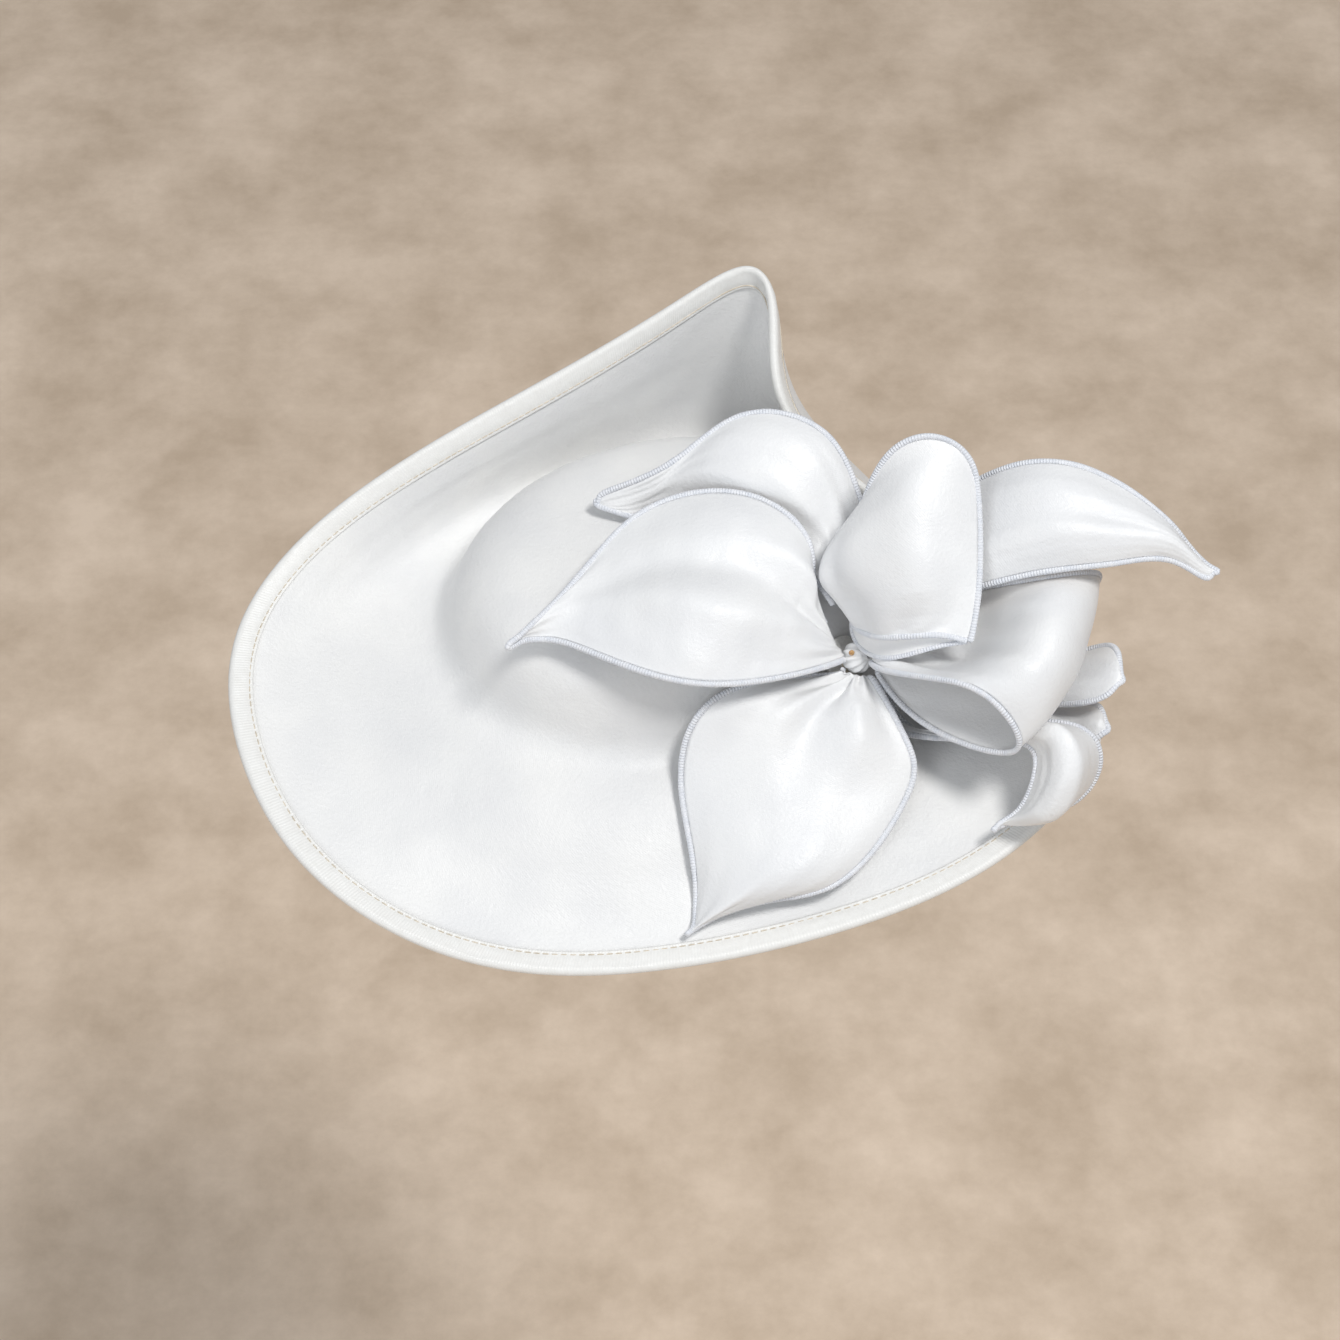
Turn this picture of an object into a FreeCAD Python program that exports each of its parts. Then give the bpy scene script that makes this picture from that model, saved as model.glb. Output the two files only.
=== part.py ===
import FreeCAD, Part
import math
import os
import Sketcher
from FreeCAD import Placement, Rotation, Vector

# Satin occasion headpiece: a moulded saucer brim with a low oval crown and a spray of
# satin leaves, carried on a sprung headband.  The origin is the centre of the headband's
# circle, +Z points up through the crown, the wearer faces -Y and the leaves are at +X.

SIZES = [
    # crown and brim
    ("crown_length", 180.0),
    ("crown_width", 140.0),
    ("crown_height", 42.0),
    ("crown_turn", 18.0),
    ("brim_reach", 1.0),
    ("foundation_thickness", 1.4),
    ("cover_thickness", 0.5),
    ("layer_gap", 0.1),
    ("binding_width", 7.0),
    ("binding_thickness", 0.6),
    ("binding_slack", 0.4),
    ("wire_diameter", 1.2),
    # closed underside of the crown
    ("base_thickness", 1.2),
    ("base_overlap", 1.07),
    ("base_gap", 0.4),
    ("ribbon_width", 10.0),
    ("ribbon_thickness", 0.8),
    ("lining_thickness", 0.5),
    # headband
    ("band_radius", 66.0),
    ("band_core_width", 9.0),
    ("band_core_thickness", 1.4),
    ("sleeve_wall", 0.6),
    ("sleeve_clearance", 0.2),
    ("grip_thickness", 0.8),
    ("grip_width", 7.0),
    ("middle_angle", 60.0),
    ("arm_angle", 68.0),
    ("flex_gap", 0.6),
    ("cap_length", 9.0),
    ("saddle_length", 50.0),
    ("saddle_depth", 1.6),
    ("stitch_diameter", 0.7),
    ("stitch_pitch", 8.0),
    # leaves and their fixing
    ("leaf_spread", 1.0),
    ("leaf_thickness", 0.6),
    ("hem_diameter", 2.4),
    ("hem_gap", 0.2),
    ("disc_diameter", 20.0),
    ("disc_thickness", 1.5),
    ("stem_diameter", 7.0),
    ("stem_length", 8.0),
    ("thread_diameter", 0.9),
]

doc = FreeCAD.newDocument("SatinHeadpiece")
sheet = doc.addObject("Spreadsheet::Sheet", "Sizes")
for row, (name, value) in enumerate(SIZES, start=1):
    sheet.set(f"A{row}", name)
    sheet.set(f"B{row}", str(value))
    sheet.setAlias(f"B{row}", name)
doc.recompute()


def size(name):
    """Value of one cell of the sheet, in millimetres or degrees."""
    return float(sheet.get(name))


# Stations round the brim, clockwise from above, starting at the wearer's left front.
# Each one is (direction of its foot on the crown, edge point x, y, z above the crown's
# foot plane, how steeply the brim climbs at its edge in degrees; over 90 leans back).
BRIM_STATIONS = [
    (-22, 166, -72, 10, 15),
    (-40, 136, -104, -8, 5),
    (-58, 96, -124, -20, 0),
    (-76, 44, -138, -28, -5),
    (-92, -4, -147, -31, -5),
    (-108, -54, -151, -29, -2),
    (-124, -100, -140, -21, 2),
    (-142, -141, -112, -8, 6),
    (-162, -164, -66, 5, 10),
    (-182, -167, -22, 16, 18),
    (-200, -140, 18, 27, 30),
    (-218, -100, 43, 41, 42),
    (-236, -66, 60, 51, 52),
    (-254, -30, 76, 63, 62),
    (-268, 4, 91, 77, 70),
    (-280, 32, 104, 91, 78),
    (-290, 42, 91, 85, 104),
    (-300, 40, 65, 73, 128),
    (-315, 45, 39, 62, 138),
    (-335, 80, 11, 52, 116),
    (-355, 124, -22, 38, 60),
    (-368, 155, -48, 22, 30),
]

# Crown rings, from the flat middle of its top down to its foot:
# (share of the oval's radius, share of the crown's height).
CROWN_RINGS = [
    (0.10, 1.0),
    (0.35, 1.0),
    (0.60, 0.985),
    (0.80, 0.90),
    (0.915, 0.68),
    (0.965, 0.38),
    (1.01, 0.12),
    (1.09, 0.0),
]
# Brim rings: shares of the way from the foot to the edge, then distances in from the
# edge in binding widths, which puts the binding's inner edge one width in everywhere.
BRIM_SHARES = [0.17, 0.34, 0.5, 0.66]
EDGE_DISTANCES = [2.2, 1.02, 0.34, 0.0]
PULL = 0.36


def oval_radius(direction, share=1.0):
    """Distance from the crown's axis to its oval in a plan direction."""
    half_length = size("crown_length") / 2
    half_width = size("crown_width") / 2
    angle = math.radians(direction - size("crown_turn"))
    return share * half_length * half_width / math.hypot(half_width * math.cos(angle),
                                                         half_length * math.sin(angle))


def plan_point(direction, radius, height):
    angle = math.radians(direction)
    return Vector(radius * math.cos(angle), radius * math.sin(angle), height)


def brim_points(direction, edge, climb):
    """Rings of the brim at one station: a cubic from the crown's foot to the edge."""
    foot = plan_point(direction, oval_radius(direction, CROWN_RINGS[-1][0]), 0.0)
    outward = plan_point(direction, 1.0, 0.0)
    length = (edge - foot).Length
    slope = math.radians(climb)
    tangent = outward * math.cos(slope) + Vector(0, 0, math.sin(slope))
    first = foot + outward * (PULL * length)
    last = edge - tangent * (PULL * length)
    end_speed = 3 * PULL * length
    width = size("binding_width")
    points = []
    for share in BRIM_SHARES + [1.0 - width * widths / end_speed for widths in EDGE_DISTANCES]:
        rest = 1.0 - share
        points.append(foot * rest ** 3 + first * (3 * rest ** 2 * share)
                      + last * (3 * rest * share ** 2) + edge * share ** 3)
    return points


def body_net():
    """Control net of the moulded body, one row per ring, in the crown's own frame."""
    height = size("crown_height")
    reach = size("brim_reach")
    columns = []
    for direction, x, y, z, climb in BRIM_STATIONS:
        column = [plan_point(direction, oval_radius(direction, share), level * height)
                  for share, level in CROWN_RINGS]
        column += brim_points(direction, Vector(x, y, z) * reach, climb)
        columns.append(column)
    return [list(ring) for ring in zip(*columns)]


def net_normals(net):
    """Unit normals at the points of a net that closes on itself along each ring."""
    rows = len(net)
    count = len(net[0])
    normals = []
    for i in range(rows):
        line = []
        for j in range(count):
            along = net[i][(j + 1) % count] - net[i][j - 1]
            down = net[min(i + 1, rows - 1)][j] - net[max(i - 1, 0)][j]
            line.append(along.cross(down).normalize())
        normals.append(line)
    return normals


NET = body_net()
NORMALS = net_normals(NET)
RINGS = len(NET)
STATIONS = len(NET[0])
DEGREE = 3


def ring_knots():
    return [float(i) for i in range(STATIONS + 1)], [1] * (STATIONS + 1)


def row_knots():
    spans = RINGS - DEGREE
    return [float(i) for i in range(spans + 1)], [DEGREE + 1] + [1] * (spans - 1) + [DEGREE + 1]


def body_surface(offset):
    """Surface of the moulded body, moved along its normals by an offset."""
    poles = [[point + normal * offset for point, normal in zip(row, line)]
             for row, line in zip(NET, NORMALS)]
    row_values, row_repeats = row_knots()
    ring_values, ring_repeats = ring_knots()
    surface = Part.BSplineSurface()
    surface.buildFromPolesMultsKnots(poles, row_repeats, ring_repeats, row_values,
                                     ring_values, False, True, DEGREE, DEGREE)
    return surface


def edge_curve(out, offset):
    """Closed curve beside the brim's edge: out past the edge and offset across it."""
    poles = []
    for j in range(STATIONS):
        outward = (NET[-1][j] - NET[-2][j]).normalize()
        poles.append(NET[-1][j] + outward * out + NORMALS[-1][j] * offset)
    values, repeats = ring_knots()
    curve = Part.BSplineCurve()
    curve.buildFromPolesMultsKnots(poles, repeats, values, True, DEGREE)
    return curve


def closed_solid(faces):
    """Sew faces into one solid with its volume positive."""
    shell = Part.makeShell(faces)
    shell.sewShape()
    solid = Part.makeSolid(shell)
    if solid.Volume < 0:
        solid.reverse()
    return solid


def band_between(first, second):
    """Strip of straight lines between two curves with the same knots."""
    surface = Part.BSplineSurface()
    surface.buildFromPolesMultsKnots([first.getPoles(), second.getPoles()], [2, 2],
                                     first.getMultiplicities(), [0.0, 1.0], first.getKnots(),
                                     False, first.isPeriodic(), 1, first.Degree)
    return surface.toShape()


LAST_ROW = float(RINGS - DEGREE)


def body_layer(low, high, start=0.0, end=LAST_ROW):
    """Solid between two offsets of the body, over part of its rows; 0 is the crown's top."""
    faces = []
    starts = []
    ends = []
    for offset in (low, high):
        surface = body_surface(offset)
        starts.append(surface.uIso(start))
        ends.append(surface.uIso(end))
        if start > 0.0 or end < LAST_ROW:
            surface.segment(start, end, 0.0, float(STATIONS))
        faces.append(surface.toShape())
    faces.append(band_between(*ends))
    if start > 0.0:
        faces.append(band_between(*starts))
    else:
        faces += [Part.Face(Part.Wire([curve.toShape()])) for curve in starts]
    return closed_solid(faces)


# Each leaf is a net of points on its blade above the crown's foot plane: one row per
# station from the knot to the tip, each row from one hem across to the other.
LEAVES = {
    "front_left_leaf": [
        [(66, -47, 29), (63, -44, 32), (60, -38, 34)],
        [(45, -66, 42), (50, -46, 50), (54, -26, 54)],
        [(24, -74, 47), (35, -46, 60), (47, -13, 65)],
        [(4, -75, 50), (14, -44, 66), (26, -2, 69)],
        [(-17, -67, 50), (-10, -39, 61), (-2, -3, 65)],
        [(-38, -55, 48), (-33, -41, 55), (-26, -22, 58)],
        [(-59, -62, 50), (-58, -60, 51), (-57, -59, 52)],
    ],
    "back_left_leaf": [
        [(63, -33, 42), (66, -31, 43), (69, -30, 42)],
        [(52, -21, 49), (62, -13, 54), (75, 0, 55)],
        [(39, -11, 50), (56, -2, 64), (69, 8, 66)],
        [(24, -3, 51), (41, 5, 73), (56, 22, 79)],
        [(9, 4, 51), (20, 12, 73), (32, 29, 80)],
        [(-4, 9, 49), (3, 13, 63), (10, 21, 71)],
        [(-12, 8, 48), (-13, 10, 53), (-14, 13, 58)],
        [(-27, 11, 49), (-27, 12, 50), (-26, 12, 51)],
    ],
    "lower_leaf": [
        [(66, -51, 25), (70, -53, 25), (74, -53, 24)],
        [(43, -58, 28), (62, -65, 25), (82, -67, 21)],
        [(14, -72, 27), (52, -81, 20), (90, -82, 11)],
        [(6, -85, 9), (47, -96, 10), (87, -94, 2)],
        [(8, -103, -2), (43, -115, 3), (71, -116, -7)],
        [(11, -121, -15), (28, -130, -8), (45, -127, -14)],
        [(7, -138, -22), (8, -138, -21), (9, -137, -21)],
    ],
    "standing_leaf": [
        [(69, -37, 38), (71, -45, 41), (80, -56, 50), (93, -60, 56), (109, -62, 55)],
        [(67, -30, 46), (62, -38, 54), (80, -48, 68), (99, -49, 72), (112, -51, 66)],
        [(66, -22, 55), (58, -31, 63), (76, -34, 79), (95, -35, 85), (113, -38, 76)],
        [(69, -14, 64), (65, -20, 72), (80, -20, 89), (97, -20, 95), (113, -24, 85)],
        [(72, -8, 72), (73, -12, 80), (83, -8, 98), (99, -7, 103), (112, -14, 94)],
    ],
    "right_wing_leaf": [
        [(78, -34, 43), (78, -31, 45), (78, -28, 46)],
        [(94, -37, 52), (93, -30, 60), (93, -18, 62)],
        [(112, -40, 61), (111, -27, 73), (113, -4, 76)],
        [(136, -42, 72), (135, -30, 88), (137, -8, 92)],
        [(158, -42, 76), (157, -32, 88), (159, -13, 90)],
        [(176, -39, 76), (176, -34, 84), (177, -23, 84)],
        [(191, -41, 72), (190, -38, 77), (189, -32, 76)],
        [(199, -42, 70), (200, -42, 71), (200, -41, 71)],
    ],
    "folded_loop": [
        [(76, -51, 32), (79, -46, 33), (81, -40, 34)],
        [(88, -69, 45), (99, -48, 37), (100, -32, 42)],
        [(105, -81, 55), (118, -59, 50), (123, -35, 54)],
        [(119, -90, 54), (134, -74, 67), (143, -41, 66)],
        [(128, -97, 40), (147, -76, 53), (159, -34, 59)],
        [(116, -90, 28), (138, -69, 38), (152, -33, 45)],
        [(95, -73, 23), (110, -60, 29), (124, -32, 36)],
        [(79, -52, 26), (82, -47, 27), (85, -41, 28)],
    ],
    "far_right_leaf": [
        [(83, -45, 20), (85, -41, 20), (86, -37, 20)],
        [(108, -57, 19), (110, -51, 22), (112, -43, 22)],
        [(136, -64, 23), (140, -57, 29), (145, -48, 29)],
        [(154, -73, 35), (158, -65, 41), (162, -53, 41)],
        [(165, -73, 44), (166, -71, 45), (166, -69, 45)],
    ],
    "small_right_leaf": [
        [(82, -50, 18), (83, -49, 17), (84, -48, 16)],
        [(106, -65, 12), (110, -60, 14), (113, -55, 12)],
        [(134, -75, 14), (139, -69, 19), (145, -61, 17)],
        [(150, -82, 20), (154, -76, 26), (158, -68, 25)],
        [(160, -82, 26), (161, -80, 27), (162, -78, 27)],
    ],
    "lower_right_leaf": [
        [(77, -54, 18), (79, -53, 18), (81, -52, 17)],
        [(103, -73, 13), (107, -73, 15), (111, -72, 12)],
        [(131, -86, 26), (137, -88, 35), (143, -82, 32)],
        [(135, -96, 24), (145, -98, 33), (157, -89, 27)],
        [(132, -102, 13), (142, -107, 22), (155, -96, 12)],
        [(126, -105, 5), (132, -107, 9), (139, -102, 4)],
        [(118, -110, 1), (121, -107, 3), (125, -104, 1)],
    ],
}
KNOT = Vector(73, -45, 24)


def leaf_points(rows):
    """The leaf's points, spread from the knot by the leaf's scale."""
    spread = size("leaf_spread")
    return [[KNOT + (Vector(*point) - KNOT) * spread for point in row] for row in rows]


def open_normals(net):
    """Unit normals at the points of an open net; its end rows copy their neighbours'."""
    last_column = len(net[0]) - 1
    normals = []
    for i in range(1, len(net) - 1):
        line = []
        for j in range(last_column + 1):
            along = net[i + 1][j] - net[i - 1][j]
            across = net[i][min(j + 1, last_column)] - net[i][max(j - 1, 0)]
            line.append(along.cross(across).normalize())
        normals.append(line)
    return [normals[0]] + normals + [normals[-1]]


def knots_for(count, degree):
    spans = count - degree
    return [float(i) for i in range(spans + 1)], [degree + 1] + [1] * (spans - 1) + [degree + 1]


def through_weights(count, degree, known={}):
    """Rows of weights that turn points at even steps into poles of a clamped B-spline."""
    if (count, degree) in known:
        return known[count, degree]
    knots, repeats = knots_for(count, degree)
    rows = []
    for i in range(count):
        line = []
        for j in range(count):
            curve = Part.BSplineCurve()
            poles = [Vector(float(k), 1.0 if k == j else 0.0, 0.0) for k in range(count)]
            curve.buildFromPolesMultsKnots(poles, repeats, knots, False, degree)
            line.append(curve.value(knots[-1] * i / (count - 1)).y)
        rows.append(line + [1.0 if k == i else 0.0 for k in range(count)])
    for pivot in range(count):
        scale = rows[pivot][pivot]
        rows[pivot] = [item / scale for item in rows[pivot]]
        for other in range(count):
            if other != pivot:
                factor = rows[other][pivot]
                rows[other] = [a - b * factor for a, b in zip(rows[other], rows[pivot])]
    known[count, degree] = [line[count:] for line in rows]
    return known[count, degree]


def through(values, degree):
    """Poles of the clamped B-spline that passes the given points at even steps."""
    poles = []
    for line in through_weights(len(values), degree):
        pole = Vector()
        for weight, value in zip(line, values):
            pole = pole + value * weight
        poles.append(pole)
    return poles


def blade_surface(net, normals, offset):
    """Surface through a leaf's points, moved along their normals by an offset."""
    moved = [[point + normal * offset for point, normal in zip(row, line)]
             for row, line in zip(net, normals)]
    degree_along = min(DEGREE, len(moved) - 1)
    degree_across = min(DEGREE, len(moved[0]) - 1)
    rows = [through(row, degree_across) for row in moved]
    columns = [through(list(column), degree_along) for column in zip(*rows)]
    poles = [list(row) for row in zip(*columns)]
    along_values, along_repeats = knots_for(len(poles), degree_along)
    across_values, across_repeats = knots_for(len(poles[0]), degree_across)
    surface = Part.BSplineSurface()
    surface.buildFromPolesMultsKnots(poles, along_repeats, across_repeats, along_values,
                                     across_values, False, False, degree_along, degree_across)
    return surface


def blade_solid(net):
    """Thin satin blade through a leaf's points."""
    normals = open_normals(net)
    half = size("leaf_thickness") / 2
    faces = []
    borders = []
    for offset in (-half, half):
        surface = blade_surface(net, normals, offset)
        first, last, low, high = surface.bounds()
        borders.append([surface.uIso(first), surface.uIso(last),
                        surface.vIso(low), surface.vIso(high)])
        faces.append(surface.toShape())
    faces += [band_between(lower, upper) for lower, upper in zip(*borders)]
    return closed_solid(faces)


# Round sections along each hem, the shares of the leaf's length where it starts and
# ends, and how far in from the edge its outward direction is measured.
HEM_SECTIONS = 14
HEM_START = 0.02
HEM_END = 0.985
HEM_PROBE = 0.02


TUBE_SIDES = 8


def tube_solid(centres, radius):
    """Round tube along a chain of centres, its rings carried without twist."""
    count = len(centres)
    reach = radius / (2 / 3 + math.cos(2 * math.pi / TUBE_SIDES) / 3)
    side = Vector(0, 0, 1)
    rings = []
    for i in range(count):
        ahead = centres[min(i + 1, count - 1)] - centres[max(i - 1, 0)]
        ahead.normalize()
        side = (side - ahead * side.dot(ahead)).normalize()
        up = ahead.cross(side)
        ring = []
        for k in range(TUBE_SIDES):
            angle = 2 * math.pi * k / TUBE_SIDES
            ring.append(centres[i] + (side * math.cos(angle) + up * math.sin(angle)) * reach)
        rings.append(ring)
    columns = [through(list(column), DEGREE) for column in zip(*rings)]
    along_values, along_repeats = knots_for(count, DEGREE)
    surface = Part.BSplineSurface()
    surface.buildFromPolesMultsKnots([list(row) for row in zip(*columns)], along_repeats,
                                     [1] * (TUBE_SIDES + 1), along_values,
                                     [float(k) for k in range(TUBE_SIDES + 1)],
                                     False, True, DEGREE, DEGREE)
    ends = [surface.uIso(along_values[0]), surface.uIso(along_values[-1])]
    caps = [Part.Face(Part.Wire([curve.toShape()])) for curve in ends]
    return closed_solid([surface.toShape()] + caps)


def hem_solids(net):
    """Rolled hems beside both long edges of a leaf, one tube along each."""
    surface = blade_surface(net, open_normals(net), 0.0)
    first, last, low, high = surface.bounds()
    radius = size("hem_diameter") / 2
    probe = HEM_PROBE * (high - low)
    solids = []
    for side, inner in ((low, low + probe), (high, high - probe)):
        centres = []
        for i in range(HEM_SECTIONS + 1):
            share = HEM_START + (HEM_END - HEM_START) * i / HEM_SECTIONS
            along = first + (last - first) * share
            edge = surface.value(along, side)
            outward = (edge - surface.value(along, inner)).normalize()
            centres.append(edge + outward * (radius + size("hem_gap")))
        solids.append(tube_solid(centres, radius))
    return Part.makeCompound(solids)


# Corners of the binding's fold: shares of its reach and of its half thickness.
FOLD_OUT = 0.8
FOLD_ACROSS = 0.6


def binding_solid():
    """Bias binding folded over the brim's edge: two arms joined round the wire."""
    lower = COVER_FACE + size("layer_gap")
    upper = lower + size("binding_thickness")
    start = LAST_ROW - 1.0
    faces = []
    rims = {}
    starts = {}
    for offset in (lower, upper, -lower, -upper):
        surface = body_surface(offset)
        starts[offset] = surface.uIso(start)
        rims[offset] = surface.uIso(LAST_ROW)
        surface.segment(start, LAST_ROW, 0.0, float(STATIONS))
        faces.append(surface.toShape())
    reach = size("wire_diameter") + size("binding_slack")
    for offset, out in ((lower, reach), (upper, reach + size("binding_thickness"))):
        chain = [rims[offset], edge_curve(FOLD_OUT * out, FOLD_ACROSS * offset),
                 edge_curve(out, 0.0), edge_curve(FOLD_OUT * out, -FOLD_ACROSS * offset),
                 rims[-offset]]
        faces += [band_between(one, two) for one, two in zip(chain, chain[1:])]
    for side in (1, -1):
        faces.append(band_between(starts[side * lower], starts[side * upper]))
    return closed_solid(faces)


WIRE_SIDES = 10


def wire_solid():
    """Millinery wire just outside the foundation's edge, inside the binding."""
    radius = size("wire_diameter") / 2
    centre = radius + size("layer_gap")
    curves = []
    for i in range(WIRE_SIDES):
        angle = 2 * math.pi * i / WIRE_SIDES
        curves.append(edge_curve(centre + radius * math.cos(angle), radius * math.sin(angle)))
    faces = [band_between(one, two) for one, two in zip(curves, curves[1:] + curves[:1])]
    return closed_solid(faces)


FOUNDATION_FACE = size("foundation_thickness") / 2
COVER_BACK = FOUNDATION_FACE + size("layer_gap")
COVER_FACE = COVER_BACK + size("cover_thickness")
# Row of the net where the crown's lining ends and the brim's under cover begins.
FOOT_ROW = 5.0
SEAM_HALF = 0.05

# Radii through the headband, outward from the wearer's head.
GRIP_FACE = size("band_radius")
SLEEVE_INNER = GRIP_FACE + size("grip_thickness") + size("layer_gap")
CORE_INNER = SLEEVE_INNER + size("sleeve_wall") + size("sleeve_clearance")
CORE_OUTER = CORE_INNER + size("band_core_thickness")
SLEEVE_OUTER = CORE_OUTER + size("sleeve_clearance") + size("sleeve_wall")

# Heights of the flat pieces that close the crown's underside, above the origin.
SADDLE_TOP = SLEEVE_OUTER + size("saddle_depth") + size("layer_gap")
LINING_BOTTOM = SADDLE_TOP + size("layer_gap")
RIBBON_TOP = LINING_BOTTOM + size("ribbon_thickness")
PLATE_BOTTOM = RIBBON_TOP + size("layer_gap")
PLATE_TOP = PLATE_BOTTOM + size("base_thickness")
CROWN_FOOT = PLATE_TOP + COVER_FACE + size("base_gap")

BODY_PLACE = Placement(Vector(0, 0, CROWN_FOOT), Rotation())


def shaped(label, shape, place=BODY_PLACE):
    """Sub-part whose free-form shape comes from Part's own functions."""
    feature = doc.addObject("Part::Feature", label)
    feature.Label = label
    feature.Shape = shape
    feature.Placement = place
    return feature


def bound(feature, **cells):
    """Tie properties of a feature to expressions over the sheet's cells."""
    for name, expression in cells.items():
        feature.setExpression(name, expression)
    return feature


def oval_disc(name, inset, thickness):
    """Flat oval piece inside the base's outline by an inset, as thick as one cell says."""
    outline = doc.addObject("Part::Ellipse", name + "_outline")
    bound(outline,
          MajorRadius=f"Sizes.crown_length / 2 * Sizes.base_overlap - ({inset})",
          MinorRadius=f"Sizes.crown_width / 2 * Sizes.base_overlap - ({inset})")
    disc = doc.addObject("Part::Extrusion", name)
    disc.Base = outline
    disc.DirMode = "Custom"
    disc.Dir = Vector(0, 0, 1)
    disc.Solid = True
    bound(disc, LengthFwd=f"Sizes.{thickness}")
    return disc


def oval_place(height):
    return Placement(Vector(0, 0, height), Rotation(Vector(0, 0, 1), size("crown_turn")))


def placed(feature, label, place):
    feature.Label = label
    feature.Placement = place
    return feature


def origin_plane(body, role):
    return next(item for item in body.Origin.OriginFeatures if item.Role == role)


def rectangle(sketch, name, inner, outer, width):
    """Rectangle across the band: two radii from the axis and a width, from the sheet."""
    corners = [Vector(1, -1, 0), Vector(2, -1, 0), Vector(2, 1, 0), Vector(1, 1, 0)]
    first = sketch.GeometryCount
    for start, end in zip(corners, corners[1:] + corners[:1]):
        sketch.addGeometry(Part.LineSegment(start, end), False)
    for i in range(4):
        sketch.addConstraint(Sketcher.Constraint("Coincident", first + i, 2,
                                                 first + (i + 1) % 4, 1))
    sketch.addConstraint(Sketcher.Constraint("Horizontal", first))
    sketch.addConstraint(Sketcher.Constraint("Horizontal", first + 2))
    sketch.addConstraint(Sketcher.Constraint("Vertical", first + 1))
    sketch.addConstraint(Sketcher.Constraint("Symmetric", first, 1, first + 2, 2, -1))
    for key, point, value in (("inner", 1, inner), ("outer", 2, outer)):
        index = sketch.addConstraint(Sketcher.Constraint("DistanceX", -1, 1, first, point, 5.0))
        sketch.renameConstraint(index, f"{name}_{key}")
        sketch.setExpression(f"Constraints.{name}_{key}", value)
    index = sketch.addConstraint(Sketcher.Constraint("DistanceY", first + 1, 1,
                                                     first + 1, 2, 2.0))
    sketch.renameConstraint(index, f"{name}_width")
    sketch.setExpression(f"Constraints.{name}_width", width)


def band_sector(label, rectangles, start, sweep, sweep_cells):
    """Length of band: rectangles turned about the head's axis, from a start angle.

    Angles are measured from +X towards +Z.  A second rectangle inside the first leaves
    the piece hollow.
    """
    body = doc.addObject("PartDesign::Body", label)
    body.Label = label
    sketch = body.newObject("Sketcher::SketchObject", label + "_section")
    sketch.AttachmentSupport = [(origin_plane(body, "XY_Plane"), "")]
    sketch.MapMode = "FlatFace"
    for name, inner, outer, width in rectangles:
        rectangle(sketch, name, inner, outer, width)
    doc.recompute()
    turned = body.newObject("PartDesign::Revolution", label + "_turned")
    turned.Profile = sketch
    turned.ReferenceAxis = (sketch, ["V_Axis"])
    turned.Reversed = True
    turned.Angle = sweep
    turned.setExpression("Angle", sweep_cells)
    body.Placement = Placement(Vector(), Rotation(Vector(0, 1, 0), -start))
    return body


SLEEVE_BACK = "Sizes.band_radius + Sizes.grip_thickness + Sizes.layer_gap"
CORE_BACK = SLEEVE_BACK + " + Sizes.sleeve_wall + Sizes.sleeve_clearance"
CORE_FRONT = CORE_BACK + " + Sizes.band_core_thickness"
SLEEVE_FRONT = CORE_FRONT + " + Sizes.sleeve_wall + Sizes.sleeve_clearance"
HOLLOW_WIDTH = "Sizes.band_core_width + 2 * Sizes.sleeve_clearance"
SLEEVE_WIDTH = HOLLOW_WIDTH + " + 2 * Sizes.sleeve_wall"

CORE_SECTION = [("core", CORE_BACK, CORE_FRONT, "Sizes.band_core_width")]
GRIP_SECTION = [("grip", "Sizes.band_radius", "Sizes.band_radius + Sizes.grip_thickness",
                 "Sizes.grip_width")]
SLEEVE_SECTION = [("cover", SLEEVE_BACK, SLEEVE_FRONT, SLEEVE_WIDTH),
                  ("hollow", SLEEVE_BACK + " + Sizes.sleeve_wall",
                   CORE_FRONT + " + Sizes.sleeve_clearance", HOLLOW_WIDTH)]
CAP_SECTION = [("cap", SLEEVE_BACK, SLEEVE_FRONT, SLEEVE_WIDTH)]


def build_headband():
    """Middle of the band and its two arms: core, sleeve and grip each, and two tips."""
    half_middle = size("middle_angle") / 2
    gap = math.degrees(size("flex_gap") / CORE_OUTER)
    cap = math.degrees(size("cap_length") / size("band_radius"))
    arm = size("arm_angle")
    arm_start = half_middle + gap
    cap_start = arm_start + arm
    runs = [
        ("middle", 90.0 - half_middle, 2 * half_middle, "Sizes.middle_angle"),
        ("left_arm", 90.0 + arm_start, arm, "Sizes.arm_angle"),
        ("right_arm", 90.0 - arm_start - arm, arm, "Sizes.arm_angle"),
    ]
    for name, start, sweep, cells in runs:
        band_sector(f"band_core_{name}", CORE_SECTION, start, sweep, cells)
        band_sector(f"band_sleeve_{name}", SLEEVE_SECTION, start, sweep, cells)
        band_sector(f"band_grip_{name}", GRIP_SECTION, start, sweep, cells)
    cap_cells = "Sizes.cap_length / Sizes.band_radius * 180 / pi"
    band_sector("band_tip_left", CAP_SECTION, 90.0 + cap_start, cap, cap_cells)
    band_sector("band_tip_right", CAP_SECTION, 90.0 - cap_start - cap, cap, cap_cells)


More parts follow.
